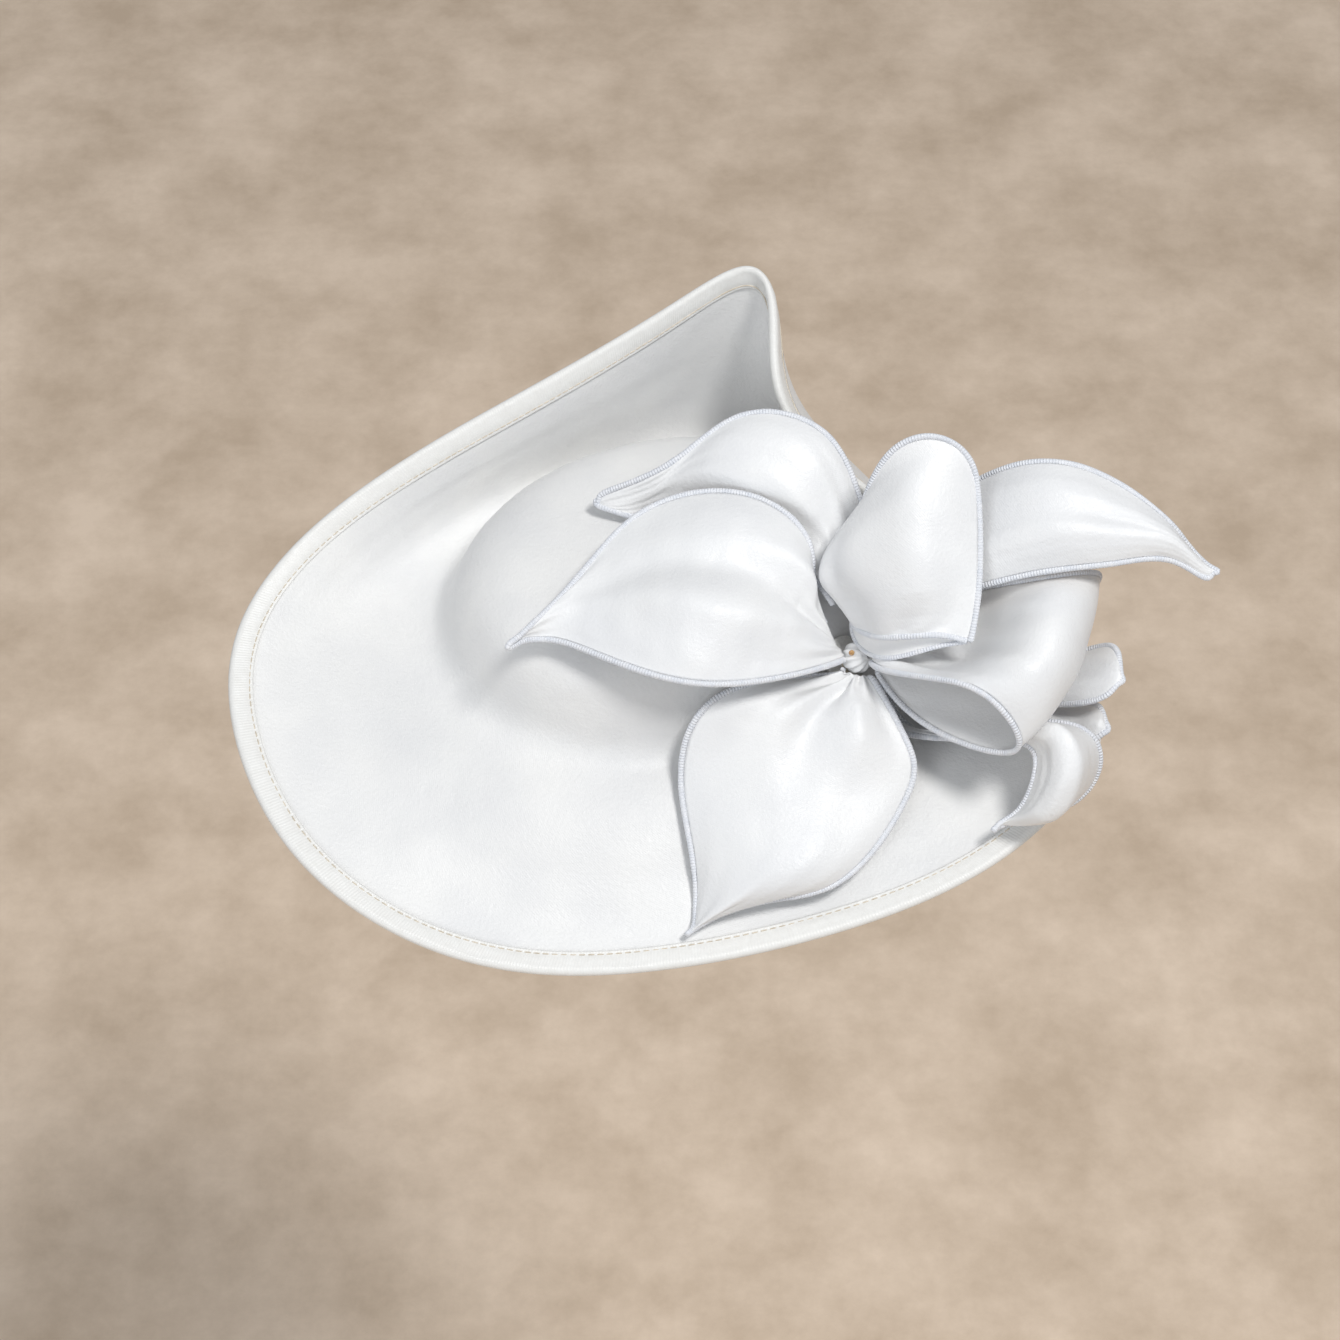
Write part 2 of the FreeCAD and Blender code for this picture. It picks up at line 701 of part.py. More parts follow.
def build_fixing():
    """Felt saddle between the band and the closed underside, and its hand stitches."""
    sleeve_width = size("band_core_width") + 2 * (size("sleeve_clearance") + size("sleeve_wall"))
    length = size("saddle_length")
    sag = SLEEVE_OUTER - math.sqrt(SLEEVE_OUTER ** 2 - length ** 2 / 4)
    height = size("saddle_depth") + sag
    block = doc.addObject("Part::Box", "saddle_block")
    bound(block, Length="Sizes.saddle_length",
          Width=SLEEVE_WIDTH, Height=f"Sizes.saddle_depth + {sag}")
    block.Placement = Placement(Vector(-length / 2, -sleeve_width / 2, SADDLE_TOP - height),
                                Rotation())
    hollow = doc.addObject("Part::Cylinder", "saddle_hollow")
    bound(hollow, Radius=SLEEVE_FRONT + " + Sizes.layer_gap", Height="2 * Sizes.saddle_length")
    hollow.Placement = Placement(Vector(0, size("saddle_length"), 0),
                                 Rotation(Vector(1, 0, 0), 90))
    saddle = doc.addObject("Part::Cut", "band_saddle")
    saddle.Base = block
    saddle.Tool = hollow
    saddle.Label = "band_saddle"

    pitch = size("stitch_pitch")
    radius = size("stitch_diameter") / 2
    aside = sleeve_width / 2 + radius + size("layer_gap")
    count = int((length / 2 - radius) / pitch)
    threads = []
    for i in range(-count, count + 1):
        bottom = math.sqrt(CORE_INNER ** 2 - (i * pitch) ** 2)
        for side in (-1, 1):
            thread = doc.addObject("Part::Cylinder", "stitch_thread")
            bound(thread, Radius="Sizes.stitch_diameter / 2")
            thread.Height = LINING_BOTTOM - size("layer_gap") - bottom
            thread.Placement = Placement(Vector(i * pitch, side * aside, bottom), Rotation())
            threads.append(thread)
    stitches = doc.addObject("Part::Compound", "band_stitches")
    stitches.Links = threads
    stitches.Label = "band_stitches"


def build_underside():
    """Oval plate, ribbon and lining that close the crown from below."""
    placed(oval_disc("plate", "0", "base_thickness"), "base_plate",
           oval_place(PLATE_BOTTOM))
    ribbon = doc.addObject("Part::Cut", "head_ribbon")
    ribbon.Base = oval_disc("ribbon_outer", "0", "ribbon_thickness")
    ribbon.Tool = oval_disc("ribbon_opening", "Sizes.ribbon_width", "ribbon_thickness")
    placed(ribbon, "head_ribbon", oval_place(LINING_BOTTOM))
    placed(oval_disc("lining", "Sizes.ribbon_width + Sizes.layer_gap", "lining_thickness"),
           "base_lining", oval_place(LINING_BOTTOM))


def build_body():
    """Foundation, its satin covers, the edge wire and the binding."""
    face = FOUNDATION_FACE
    shaped("foundation", body_layer(-face, face))
    shaped("top_cover", body_layer(COVER_BACK, COVER_FACE))
    shaped("under_cover", body_layer(-COVER_FACE, -COVER_BACK, start=FOOT_ROW + SEAM_HALF))
    shaped("crown_lining", body_layer(-COVER_FACE, -COVER_BACK, end=FOOT_ROW - SEAM_HALF))
    shaped("edge_wire", wire_solid())
    shaped("edge_binding", binding_solid())


STEM_AXIS = Vector(0.68, -0.42, 0.6).normalize()
# Turns of thread round the stem, and the first one's height in thread pitches.
THREAD_TURNS = 4
FIRST_TURN = 1.5


def build_leaves():
    """Leaf blades and their rolled hems."""
    for name, rows in LEAVES.items():
        net = leaf_points(rows)
        shaped(name, blade_solid(net))
        shaped(name + "_hem", hem_solids(net))


def build_knot():
    """Felt disc on the crown's shoulder, the leaves' wired stem and its binding thread."""
    turn = Rotation(Vector(0, 0, 1), STEM_AXIS)
    top = KNOT + Vector(0, 0, CROWN_FOOT)
    stem_foot = top - STEM_AXIS * size("stem_length")
    disc = doc.addObject("Part::Cylinder", "fixing_disc")
    bound(disc, Radius="Sizes.disc_diameter / 2", Height="Sizes.disc_thickness")
    below = size("disc_thickness") + size("layer_gap")
    placed(disc, "fixing_disc", Placement(stem_foot - STEM_AXIS * below, turn))
    stem = doc.addObject("Part::Cylinder", "leaf_stem")
    bound(stem, Radius="Sizes.stem_diameter / 2", Height="Sizes.stem_length")
    placed(stem, "leaf_stem", Placement(stem_foot, turn))
    rings = []
    pitch = size("thread_diameter") + size("layer_gap")
    for i in range(THREAD_TURNS):
        ring = doc.addObject("Part::Torus", "thread_turn")
        bound(ring, Radius1="Sizes.stem_diameter / 2 + Sizes.thread_diameter / 2"
                            " + Sizes.layer_gap",
              Radius2="Sizes.thread_diameter / 2")
        ring.Placement = Placement(stem_foot + STEM_AXIS * (pitch * (i + FIRST_TURN)), turn)
        rings.append(ring)
    thread = doc.addObject("Part::Compound", "binding_thread")
    thread.Links = rings
    thread.Label = "binding_thread"


NODES = (
    ["foundation", "top_cover", "under_cover", "crown_lining", "edge_wire", "edge_binding",
     "base_plate", "head_ribbon", "base_lining", "band_saddle", "band_stitches"]
    + [f"band_{piece}_{run}" for piece in ("core", "sleeve", "grip")
       for run in ("middle", "left_arm", "right_arm")]
    + ["band_tip_left", "band_tip_right", "fixing_disc", "leaf_stem", "binding_thread"]
    + list(LEAVES)
    + [name + "_hem" for name in LEAVES]
)

build_body()
build_underside()
build_headband()
build_fixing()
build_knot()
build_leaves()
doc.recompute()

for item in doc.Objects:
    if "Invalid" in item.State or "Error" in item.State:
        raise RuntimeError(f"{item.Label} did not build: {item.State}")

os.makedirs("parts", exist_ok=True)
by_label = {item.Label: item for item in doc.Objects}
for node in NODES:
    shape = by_label[node].Shape
    if shape.isNull() or not shape.isValid() or shape.Volume <= 0:
        raise RuntimeError(f"{node} has no sound solid")
    shape.exportStep(f"parts/{node}.step")
print(f"{len(NODES)} nodes written")
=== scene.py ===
import math

import bmesh
import bpy
import numpy as np
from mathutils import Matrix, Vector


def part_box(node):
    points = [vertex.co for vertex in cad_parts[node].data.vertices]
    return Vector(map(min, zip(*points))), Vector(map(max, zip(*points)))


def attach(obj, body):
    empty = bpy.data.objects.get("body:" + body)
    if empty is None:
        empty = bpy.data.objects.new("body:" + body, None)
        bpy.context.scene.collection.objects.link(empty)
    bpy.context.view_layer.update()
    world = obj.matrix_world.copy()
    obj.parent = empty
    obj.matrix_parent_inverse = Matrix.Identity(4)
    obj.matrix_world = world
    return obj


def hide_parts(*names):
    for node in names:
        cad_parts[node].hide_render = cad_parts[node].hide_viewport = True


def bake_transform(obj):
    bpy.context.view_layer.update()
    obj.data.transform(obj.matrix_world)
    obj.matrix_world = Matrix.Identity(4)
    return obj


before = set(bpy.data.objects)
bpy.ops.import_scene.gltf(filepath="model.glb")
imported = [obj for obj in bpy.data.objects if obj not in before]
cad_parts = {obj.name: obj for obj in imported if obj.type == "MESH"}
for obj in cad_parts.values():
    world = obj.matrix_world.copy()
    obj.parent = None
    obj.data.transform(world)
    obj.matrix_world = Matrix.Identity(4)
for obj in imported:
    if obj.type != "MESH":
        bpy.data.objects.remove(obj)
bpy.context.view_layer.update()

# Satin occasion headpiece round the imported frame.  Lengths are in metres; tables of points
# are in millimetres above the plane of the crown's foot and are scaled by MM.
MM = 0.001

# --------------------------------------------------------------------------- sizes

FOUNDATION_FACE = 0.7 * MM
COVER_BACK = FOUNDATION_FACE + 0.1 * MM
COVER_FACE = COVER_BACK + 0.5 * MM
BINDING_WIDTH = 7.0 * MM
BINDING_FACE = COVER_FACE + 0.75 * MM
BINDING_REACH = 2.3 * MM
HEM_RADIUS = 1.15 * MM
TUBE_SIDES = 12
LEAF_THICKNESS = 0.45 * MM
CROWN_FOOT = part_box("base_plate")[1][2] + COVER_FACE + 0.4 * MM
CROWN_LENGTH, CROWN_WIDTH, CROWN_HEIGHT = 180 * MM, 140 * MM, 42 * MM
CROWN_TURN = 18.0

BRIM_STATIONS = [
    (-22, 166, -72, 10, 15),
    (-40, 136, -104, -8, 5),
    (-58, 96, -124, -20, 0),
    (-76, 44, -138, -28, -5),
    (-92, -4, -147, -31, -5),
    (-108, -54, -151, -29, -2),
    (-124, -100, -140, -21, 2),
    (-142, -141, -112, -8, 6),
    (-162, -164, -66, 5, 10),
    (-182, -167, -22, 16, 18),
    (-200, -140, 18, 27, 30),
    (-218, -100, 43, 41, 42),
    (-236, -66, 60, 51, 52),
    (-254, -30, 76, 63, 62),
    (-268, 4, 91, 77, 70),
    (-280, 32, 104, 91, 78),
    (-290, 42, 91, 85, 104),
    (-300, 40, 65, 73, 128),
    (-315, 45, 39, 62, 138),
    (-335, 80, 11, 52, 116),
    (-355, 124, -22, 38, 60),
    (-368, 155, -48, 22, 30),
]
CROWN_RINGS = [
    (0.10, 1.0),
    (0.35, 1.0),
    (0.60, 0.985),
    (0.80, 0.90),
    (0.915, 0.68),
    (0.965, 0.38),
    (1.01, 0.12),
    (1.09, 0.0),
]
BRIM_SHARES = [0.17, 0.34, 0.5, 0.66]
EDGE_DISTANCES = [2.2, 1.02, 0.34, 0.0]
PULL = 0.36

# --------------------------------------------------------------------------- splines


def clamped_basis(count, degree, at):
    """Rows of B-spline weights for a clamped even spline; at runs from 0 to 1."""
    spans = count - degree
    knots = np.concatenate([np.zeros(degree), np.arange(spans + 1), np.full(degree, spans)])
    t = np.clip(np.asarray(at, float), 0, 1) * spans
    t = np.minimum(t, spans - 1e-9)
    table = [((t >= knots[i]) & (t < knots[i + 1])).astype(float)
             for i in range(len(knots) - 1)]
    for d in range(1, degree + 1):
        table = [
            blend_term(t - knots[i], knots[i + d] - knots[i], table[i])
            + blend_term(knots[i + d + 1] - t, knots[i + d + 1] - knots[i + 1], table[i + 1])
            for i in range(len(table) - 1)
        ]
    return np.stack(table, axis=1)


def blend_term(top, bottom, weight):
    return top / bottom * weight if bottom > 0 else 0 * weight


def ring_basis(count, at):
    """Weights of an even cubic spline that closes on itself; at runs from 0 to 1."""
    t = np.asarray(at, float) * count
    start = np.floor(t).astype(int)
    f = t - start
    weights = np.zeros((len(t), count))
    terms = [(1 - f) ** 3, 3 * f ** 3 - 6 * f ** 2 + 4, -3 * f ** 3 + 3 * f ** 2 + 3 * f + 1,
             f ** 3]
    for shift, term in zip((-1, 0, 1, 2), terms):
        weights[np.arange(len(t)), (start + shift) % count] += term / 6
    return weights


def through(points, degree):
    """Poles of the clamped spline that passes the given points at even steps."""
    count = len(points)
    basis = clamped_basis(count, degree, np.linspace(0, 1, count))
    return np.linalg.solve(basis, points.reshape(count, -1)).reshape(points.shape)


def unit(vectors):
    return vectors / np.maximum(np.linalg.norm(vectors, axis=-1, keepdims=True), 1e-12)


def grid_normals(points, wrap):
    """Unit normals of a grid of points; wrap closes its second direction."""
    down = np.gradient(points, axis=0)
    if wrap:
        along = np.roll(points, -1, axis=1) - np.roll(points, 1, axis=1)
    else:
        along = np.gradient(points, axis=1)
    return unit(np.cross(along, down))


# --------------------------------------------------------------------------- the moulded body


def plan_point(direction, radius, height=0.0):
    angle = math.radians(direction)
    return np.array([radius * math.cos(angle), radius * math.sin(angle), height])


def oval_radius(direction, share):
    angle = math.radians(direction - CROWN_TURN)
    a, b = CROWN_LENGTH / 2, CROWN_WIDTH / 2
    return share * a * b / math.hypot(b * math.cos(angle), a * math.sin(angle))


def body_net():
    """Control net of the moulded body, as in the CAD, in the row frame."""
    columns = []
    for direction, x, y, z, climb in BRIM_STATIONS:
        column = [plan_point(direction, oval_radius(direction, share), level * CROWN_HEIGHT)
                  for share, level in CROWN_RINGS]
        foot = plan_point(direction, oval_radius(direction, CROWN_RINGS[-1][0]))
        edge = np.array([x, y, z]) * MM
        outward = plan_point(direction, 1.0)
        length = np.linalg.norm(edge - foot)
        slope = math.radians(climb)
        tangent = outward * math.cos(slope) + np.array([0, 0, math.sin(slope)])
        first = foot + outward * (PULL * length)
        last = edge - tangent * (PULL * length)
        speed = 3 * PULL * length
        for t in BRIM_SHARES + [1 - BINDING_WIDTH * d / speed for d in EDGE_DISTANCES]:
            column.append(foot * (1 - t) ** 3 + first * (3 * (1 - t) ** 2 * t)
                          + last * (3 * (1 - t) * t ** 2) + edge * t ** 3)
        columns.append(column)
    net = np.array(columns).transpose(1, 0, 2)
    return net + np.array([0, 0, CROWN_FOOT])


NET = body_net()
RINGS, STATIONS = NET.shape[:2]
LAST_ROW = RINGS - 3
DOWN = NET[np.minimum(np.arange(RINGS) + 1, RINGS - 1)] - NET[np.maximum(np.arange(RINGS) - 1, 0)]
ALONG = np.roll(NET, -1, axis=1) - np.roll(NET, 1, axis=1)
NET_NORMALS = unit(np.cross(ALONG, DOWN))


def body_points(offset, rows, stations):
    """Points of the body's surface moved along its normals; rows run 0 to LAST_ROW."""
    poles = NET + NET_NORMALS * offset
    by_row = clamped_basis(RINGS, 3, np.asarray(rows) / LAST_ROW)
    by_ring = ring_basis(STATIONS, stations)
    return np.einsum("ri,ijk,sj->rsk", by_row, poles, by_ring)


def edge_points(out, offset, stations):
    """Points beside the brim's edge: out past it and offset across it."""
    outward = unit(NET[-1] - NET[-2])
    poles = NET[-1] + outward * out + NET_NORMALS[-1] * offset
    return ring_basis(STATIONS, stations) @ poles


# --------------------------------------------------------------------------- mesh helpers


def new_piece(name, vertices, faces, uvs=None):
    """Smooth mesh object from points and faces, with one uv pair per point."""
    mesh = bpy.data.meshes.new(name)
    mesh.from_pydata([tuple(v) for v in vertices], [], [tuple(f) for f in faces])
    if uvs is not None:
        layer = mesh.uv_layers.new(name="UVMap")
        corners = np.zeros(len(mesh.loops), dtype=np.int64)
        mesh.loops.foreach_get("vertex_index", corners)
        layer.data.foreach_set("uv", np.asarray(uvs, float)[corners].ravel())
    mesh.polygons.foreach_set("use_smooth", [True] * len(mesh.polygons))
    mesh.update()
    piece = bpy.data.objects.new(name, mesh)
    bpy.context.scene.collection.objects.link(piece)
    return piece


def grid_faces(rows, columns, wrap, start=0, flip=False):
    """Quads over a grid of points numbered row by row from start."""
    last = columns if wrap else columns - 1
    i, j = np.meshgrid(np.arange(rows - 1), np.arange(last), indexing="ij")
    right = (j + 1) % columns
    quads = np.stack([i * columns + j, (i + 1) * columns + j,
                      (i + 1) * columns + right, i * columns + right], axis=-1).reshape(-1, 4)
    if flip:
        quads = quads[:, ::-1]
    return (quads + start).tolist()


def loop_faces(rows, columns):
    """Quads over a grid of points that closes on itself both ways."""
    i, j = np.meshgrid(np.arange(rows), np.arange(columns), indexing="ij")
    below = (i + 1) % rows
    right = (j + 1) % columns
    return np.stack([i * columns + j, below * columns + j, below * columns + right,
                     i * columns + right], axis=-1).reshape(-1, 4).tolist()


def arc_uv(points):
    """UV in metres over a grid: u down the rows, v along the columns."""
    down = np.linalg.norm(np.diff(points, axis=0), axis=2).mean(axis=1)
    across = np.linalg.norm(np.diff(points, axis=1), axis=2).mean(axis=0)
    u = np.concatenate([[0], np.cumsum(down)])
    v = np.concatenate([[0], np.cumsum(across)])
    return np.stack(np.meshgrid(u, v, indexing="ij"), axis=-1).reshape(-1, 2)


def ring_sheet(name, face, back, closed_top):
    """Closed thin shell between two grids that go all round; face points outwards."""
    rows, columns = face.shape[:2]
    count = rows * columns
    vertices = np.concatenate([face.reshape(-1, 3), back.reshape(-1, 3)])
    uvs = np.concatenate([arc_uv(face), arc_uv(back)])
    faces = grid_faces(rows, columns, True, 0, False)
    faces += grid_faces(rows, columns, True, count, True)
    last = (rows - 1) * columns
    for j in range(columns):
        k = (j + 1) % columns
        faces.append([last + j, count + last + j, count + last + k, last + k])
    if closed_top:
        vertices = np.concatenate([vertices, [face[0].mean(axis=0)], [back[0].mean(axis=0)]])
        uvs = np.concatenate([uvs, [[0, 0]], [[0, 0]]])
        top = len(vertices) - 2
        for j in range(columns):
            k = (j + 1) % columns
            faces.append([top, j, k])
            faces.append([top + 1, count + k, count + j])
    else:
        for j in range(columns):
            k = (j + 1) % columns
            faces.append([j, k, count + k, count + j])
    return new_piece(name, vertices, faces, uvs)


def turn_out(piece):
    """Turn a closed piece's faces outwards."""
    shape = bmesh.new()
    shape.from_mesh(piece.data)
    if shape.calc_volume(signed=True) < 0:
        bmesh.ops.reverse_faces(shape, faces=shape.faces)
        shape.to_mesh(piece.data)
    shape.free()
    return piece


def open_sheet(name, middle, thickness, normals):
    """Closed thin shell round an open grid of points."""
    rows, columns = middle.shape[:2]
    count = rows * columns
    half = normals * (thickness / 2)
    vertices = np.concatenate([(middle + half).reshape(-1, 3), (middle - half).reshape(-1, 3)])
    uvs = np.concatenate([arc_uv(middle), arc_uv(middle)])
    faces = grid_faces(rows, columns, False, 0, False)
    faces += grid_faces(rows, columns, False, count, True)
    border = ([j for j in range(columns)]
              + [i * columns + columns - 1 for i in range(1, rows)]
              + [(rows - 1) * columns + j for j in range(columns - 2, -1, -1)]
              + [i * columns for i in range(rows - 2, 0, -1)])
    for one, two in zip(border, border[1:] + border[:1]):
        faces.append([one, two, count + two, count + one])
    return turn_out(new_piece(name, vertices, faces, uvs))


def capped(name, rings, uvs=None, ends=None, end_uvs=((0, 0), (0, 0))):
    """Closed piece over a run of rings, fanned to a point at each end."""
    grid = np.array(rings)
    count, sides = grid.shape[:2]
    if ends is None:
        ends = [grid[0].mean(axis=0), grid[-1].mean(axis=0)]
    vertices = np.concatenate([grid.reshape(-1, 3), ends])
    faces = grid_faces(count, sides, True)
    near = count * sides
    last = near - sides
    for j in range(sides):
        k = (j + 1) % sides
        faces.append([near, k, j])
        faces.append([near + 1, last + j, last + k])
    if uvs is not None:
        uvs = np.concatenate([uvs, end_uvs])
    return turn_out(new_piece(name, vertices, faces, uvs))


def tube(name, path, radius):
    """Round tube along a chain of points; radius is one value or one per point."""
    sides = TUBE_SIDES
    count = len(path)
    radius = np.broadcast_to(radius, (count,))
    ahead = unit(np.gradient(path, axis=0))
    side = np.array([0.1, 0.2, 1.0])
    rings = []
    for i in range(count):
        side = side - ahead[i] * np.dot(side, ahead[i])
        side = side / np.linalg.norm(side)
        up = np.cross(ahead[i], side)
        angle = np.arange(sides) * 2 * math.pi / sides
        rings.append(path[i] + radius[i] * (np.cos(angle)[:, None] * side
                                            + np.sin(angle)[:, None] * up))
    steps = np.concatenate([[0], np.cumsum(np.linalg.norm(np.diff(path, axis=0), axis=1))])
    around = np.arange(sides) * 2 * math.pi * radius.mean() / sides
    uvs = np.stack(np.meshgrid(steps, around, indexing="ij"), axis=-1).reshape(-1, 2)
    ends = [path[0] - ahead[0] * radius[0] * 0.5, path[-1] + ahead[-1] * radius[-1] * 0.5]
    return capped(name, rings, uvs, ends, [[0, 0], [steps[-1], 0]])


def ripple(x, y, seed):
    """Smooth repeatable waviness of about one, from a few waves in odd directions."""
    rng = np.random.default_rng(seed)
    total = np.zeros_like(x)
    for _ in range(5):
        a, b = rng.normal(size=2)
        total = total + np.sin(a * x + b * y + rng.uniform(0, 2 * math.pi))
    return total / 2.2


# --------------------------------------------------------------------------- finishes


def finish_material(name, colour, roughness, **sockets):
    material = bpy.data.materials.new(name)
    material.use_nodes = True
    tree = material.node_tree
    shader = tree.nodes["Principled BSDF"]
    shader.inputs["Base Color"].default_value = (*colour, 1)
    shader.inputs["Roughness"].default_value = roughness
    for socket, value in sockets.items():
        shader.inputs[socket.replace("_", " ")].default_value = value
    return material, tree, shader


def coordinates(tree, kind, scale):
    """Object or UV coordinates at a scale, in cycles per metre."""
    source = tree.nodes.new("ShaderNodeTexCoord")
    mapping = tree.nodes.new("ShaderNodeMapping")
    mapping.inputs["Scale"].default_value = scale
    tree.links.new(source.outputs[kind], mapping.inputs["Vector"])
    return mapping.outputs["Vector"]


def noise(tree, vector, scale, detail, roughness=0.5):
    node = tree.nodes.new("ShaderNodeTexNoise")
    node.inputs["Scale"].default_value = scale
    node.inputs["Detail"].default_value = detail
    node.inputs["Roughness"].default_value = roughness
    tree.links.new(vector, node.inputs["Vector"])
    return node.outputs["Fac"]


def wave(tree, vector, scale, direction, distortion):
    node = tree.nodes.new("ShaderNodeTexWave")
    node.wave_type = "BANDS"
    node.bands_direction = direction
    node.wave_profile = "SIN"
    node.inputs["Scale"].default_value = scale
    node.inputs["Distortion"].default_value = distortion
    node.inputs["Detail"].default_value = 1.0
    tree.links.new(vector, node.inputs["Vector"])
    return node.outputs["Fac"]


def colour_range(tree, shader, value, low, high, start=0.3, end=0.7):
    ramp = tree.nodes.new("ShaderNodeValToRGB")
    ramp.color_ramp.elements[0].color = (*low, 1)
    ramp.color_ramp.elements[1].color = (*high, 1)
    ramp.color_ramp.elements[0].position = start
    ramp.color_ramp.elements[1].position = end
    tree.links.new(value, ramp.inputs["Fac"])
    tree.links.new(ramp.outputs["Color"], shader.inputs["Base Color"])


def value_range(tree, shader, socket, value, low, high):
    scaled = tree.nodes.new("ShaderNodeMapRange")
    scaled.inputs["From Min"].default_value = 0.3
    scaled.inputs["From Max"].default_value = 0.7
    scaled.inputs["To Min"].default_value = low
    scaled.inputs["To Max"].default_value = high
    tree.links.new(value, scaled.inputs["Value"])
    tree.links.new(scaled.outputs["Result"], shader.inputs[socket])


def relief(tree, shader, layers):
    """Stack of bumps: each layer is (height value, depth in metres, strength)."""
    normal = None
    for height, depth, strength in layers:
        bump = tree.nodes.new("ShaderNodeBump")
        bump.inputs["Distance"].default_value = depth
        bump.inputs["Strength"].default_value = strength
        tree.links.new(height, bump.inputs["Height"])
        if normal is not None:
            tree.links.new(normal, bump.inputs["Normal"])
        normal = bump.outputs["Normal"]
    tree.links.new(normal, shader.inputs["Normal"])


def satin(name, low, high, rough=(0.40, 0.50), pebble=1.0):
    """Satin: mottled by a hair, with a pebbled face, crinkles and a fine twill."""
    material, tree, shader = finish_material(name, high, 0.44, Sheen_Weight=0.15,
                                             Sheen_Roughness=0.4, Anisotropic=0.3,
                                             Specular_IOR_Level=0.5)
    place = coordinates(tree, "Object", (1, 1, 1))
    thread = coordinates(tree, "UV", (1, 1, 1))
    soft = noise(tree, place, 28, 3)
    colour_range(tree, shader, soft, low, high)
    value_range(tree, shader, "Roughness", noise(tree, place, 90, 3), *rough)
    relief(tree, shader, [
        (noise(tree, place, 150, 2), 0.0012, 0.16 * pebble),
        (noise(tree, place, 760, 3, 0.6), 0.0006, 0.42 * pebble),
        (wave(tree, thread, 700, "DIAGONAL", 0.6), 0.0001, 0.2),
    ])
    return material


BODY_SATIN = satin("body_satin", (0.80, 0.80, 0.80), (0.88, 0.875, 0.86))
LEAF_SATIN = satin("leaf_satin", (0.82, 0.825, 0.835), (0.90, 0.90, 0.895), (0.36, 0.46), 0.9)
LINING_SATIN = satin("lining_satin", (0.74, 0.73, 0.70), (0.82, 0.81, 0.78), (0.42, 0.5), 1.2)
BAND_SATIN = satin("band_satin", (0.80, 0.80, 0.79), (0.87, 0.865, 0.85), (0.34, 0.42), 1.0)


def threaded(name, low, high, pitch, depth, roughness, direction="X", fuzz=0.4):
    """Thread or ribbed cloth: ribs across the length at a pitch, and loose fibres."""
    material, tree, shader = finish_material(name, high, roughness, Sheen_Weight=fuzz,
                                             Sheen_Roughness=0.5)
    along = coordinates(tree, "UV", (1, 1, 1))
    place = coordinates(tree, "Object", (1, 1, 1))
    ribs = wave(tree, along, math.pi / (10 * pitch), direction, 0.8)
    colour_range(tree, shader, noise(tree, place, 350, 4), low, high)
    relief(tree, shader, [(ribs, depth, 0.7), (noise(tree, place, 1800, 3), 0.0002, 0.4)])
    return material


# Rolled leaf hems: ribbed overlock thread, coloured a darker blue-grey than the leaf satin as
# painted shade along the hem line.
HEM_THREAD_PAINTED_SHADE = threaded("hem_thread", (0.76, 0.79, 0.85), (0.88, 0.89, 0.92), 0.0011, 0.00035, 0.6)
BINDING = threaded("bias_binding", (0.84, 0.83, 0.80), (0.88, 0.875, 0.85), 0.0010, 0.00008, 0.42,
                   "X", 0.12)
PETERSHAM = threaded("petersham", (0.72, 0.71, 0.68), (0.82, 0.81, 0.78), 0.0016, 0.0005, 0.55,
                     "X", 0.2)
SEWING_THREAD = threaded("sewing_thread", (0.62, 0.54, 0.42), (0.76, 0.68, 0.56), 0.0006,
                         0.0002, 0.6)


def fibrous(name, low, high, scale, depth, roughness, sheen):
    """Felt, velvet, buckram: matted fibres."""
    material, tree, shader = finish_material(name, high, roughness, Sheen_Weight=sheen,
                                             Sheen_Roughness=0.35)
    place = coordinates(tree, "Object", (1, 1, 1))
    colour_range(tree, shader, noise(tree, place, scale, 5, 0.65), low, high)
    relief(tree, shader, [(noise(tree, place, scale * 2.2, 4, 0.7), depth, 0.6)])
    return material


FELT = fibrous("felt", (0.66, 0.65, 0.62), (0.80, 0.79, 0.76), 700, 0.0006, 0.95, 0.3)
VELVET = fibrous("velvet", (0.66, 0.655, 0.64), (0.80, 0.795, 0.78), 1600, 0.0003, 0.9, 0.8)
BUCKRAM = fibrous("buckram", (0.72, 0.70, 0.66), (0.82, 0.80, 0.76), 900, 0.0004, 0.8, 0.1)


def metal(name, colour, roughness):
    material, tree, shader = finish_material(name, colour, roughness, Metallic=1.0)
    place = coordinates(tree, "Object", (1, 1, 1))
    value_range(tree, shader, "Roughness", noise(tree, place, 260, 4), roughness,
                roughness + 0.15)
    colour_range(tree, shader, noise(tree, place, 60, 3), tuple(0.8 * c for c in colour), colour)
    relief(tree, shader, [(noise(tree, place, 900, 3), 0.0001, 0.3)])
    return material


STEEL = metal("spring_steel", (0.55, 0.55, 0.56), 0.32)
WIRE = metal("millinery_wire", (0.62, 0.62, 0.61), 0.4)


def glue_material():
    material, tree, shader = finish_material("dried_glue", (0.60, 0.34, 0.12), 0.22,
                                             Coat_Weight=0.6, Coat_Roughness=0.1)
    place = coordinates(tree, "Object", (1, 1, 1))
    colour_range(tree, shader, noise(tree, place, 500, 3), (0.42, 0.20, 0.06),
                 (0.72, 0.48, 0.22))
    relief(tree, shader, [(noise(tree, place, 800, 2), 0.0003, 0.3)])
    return material


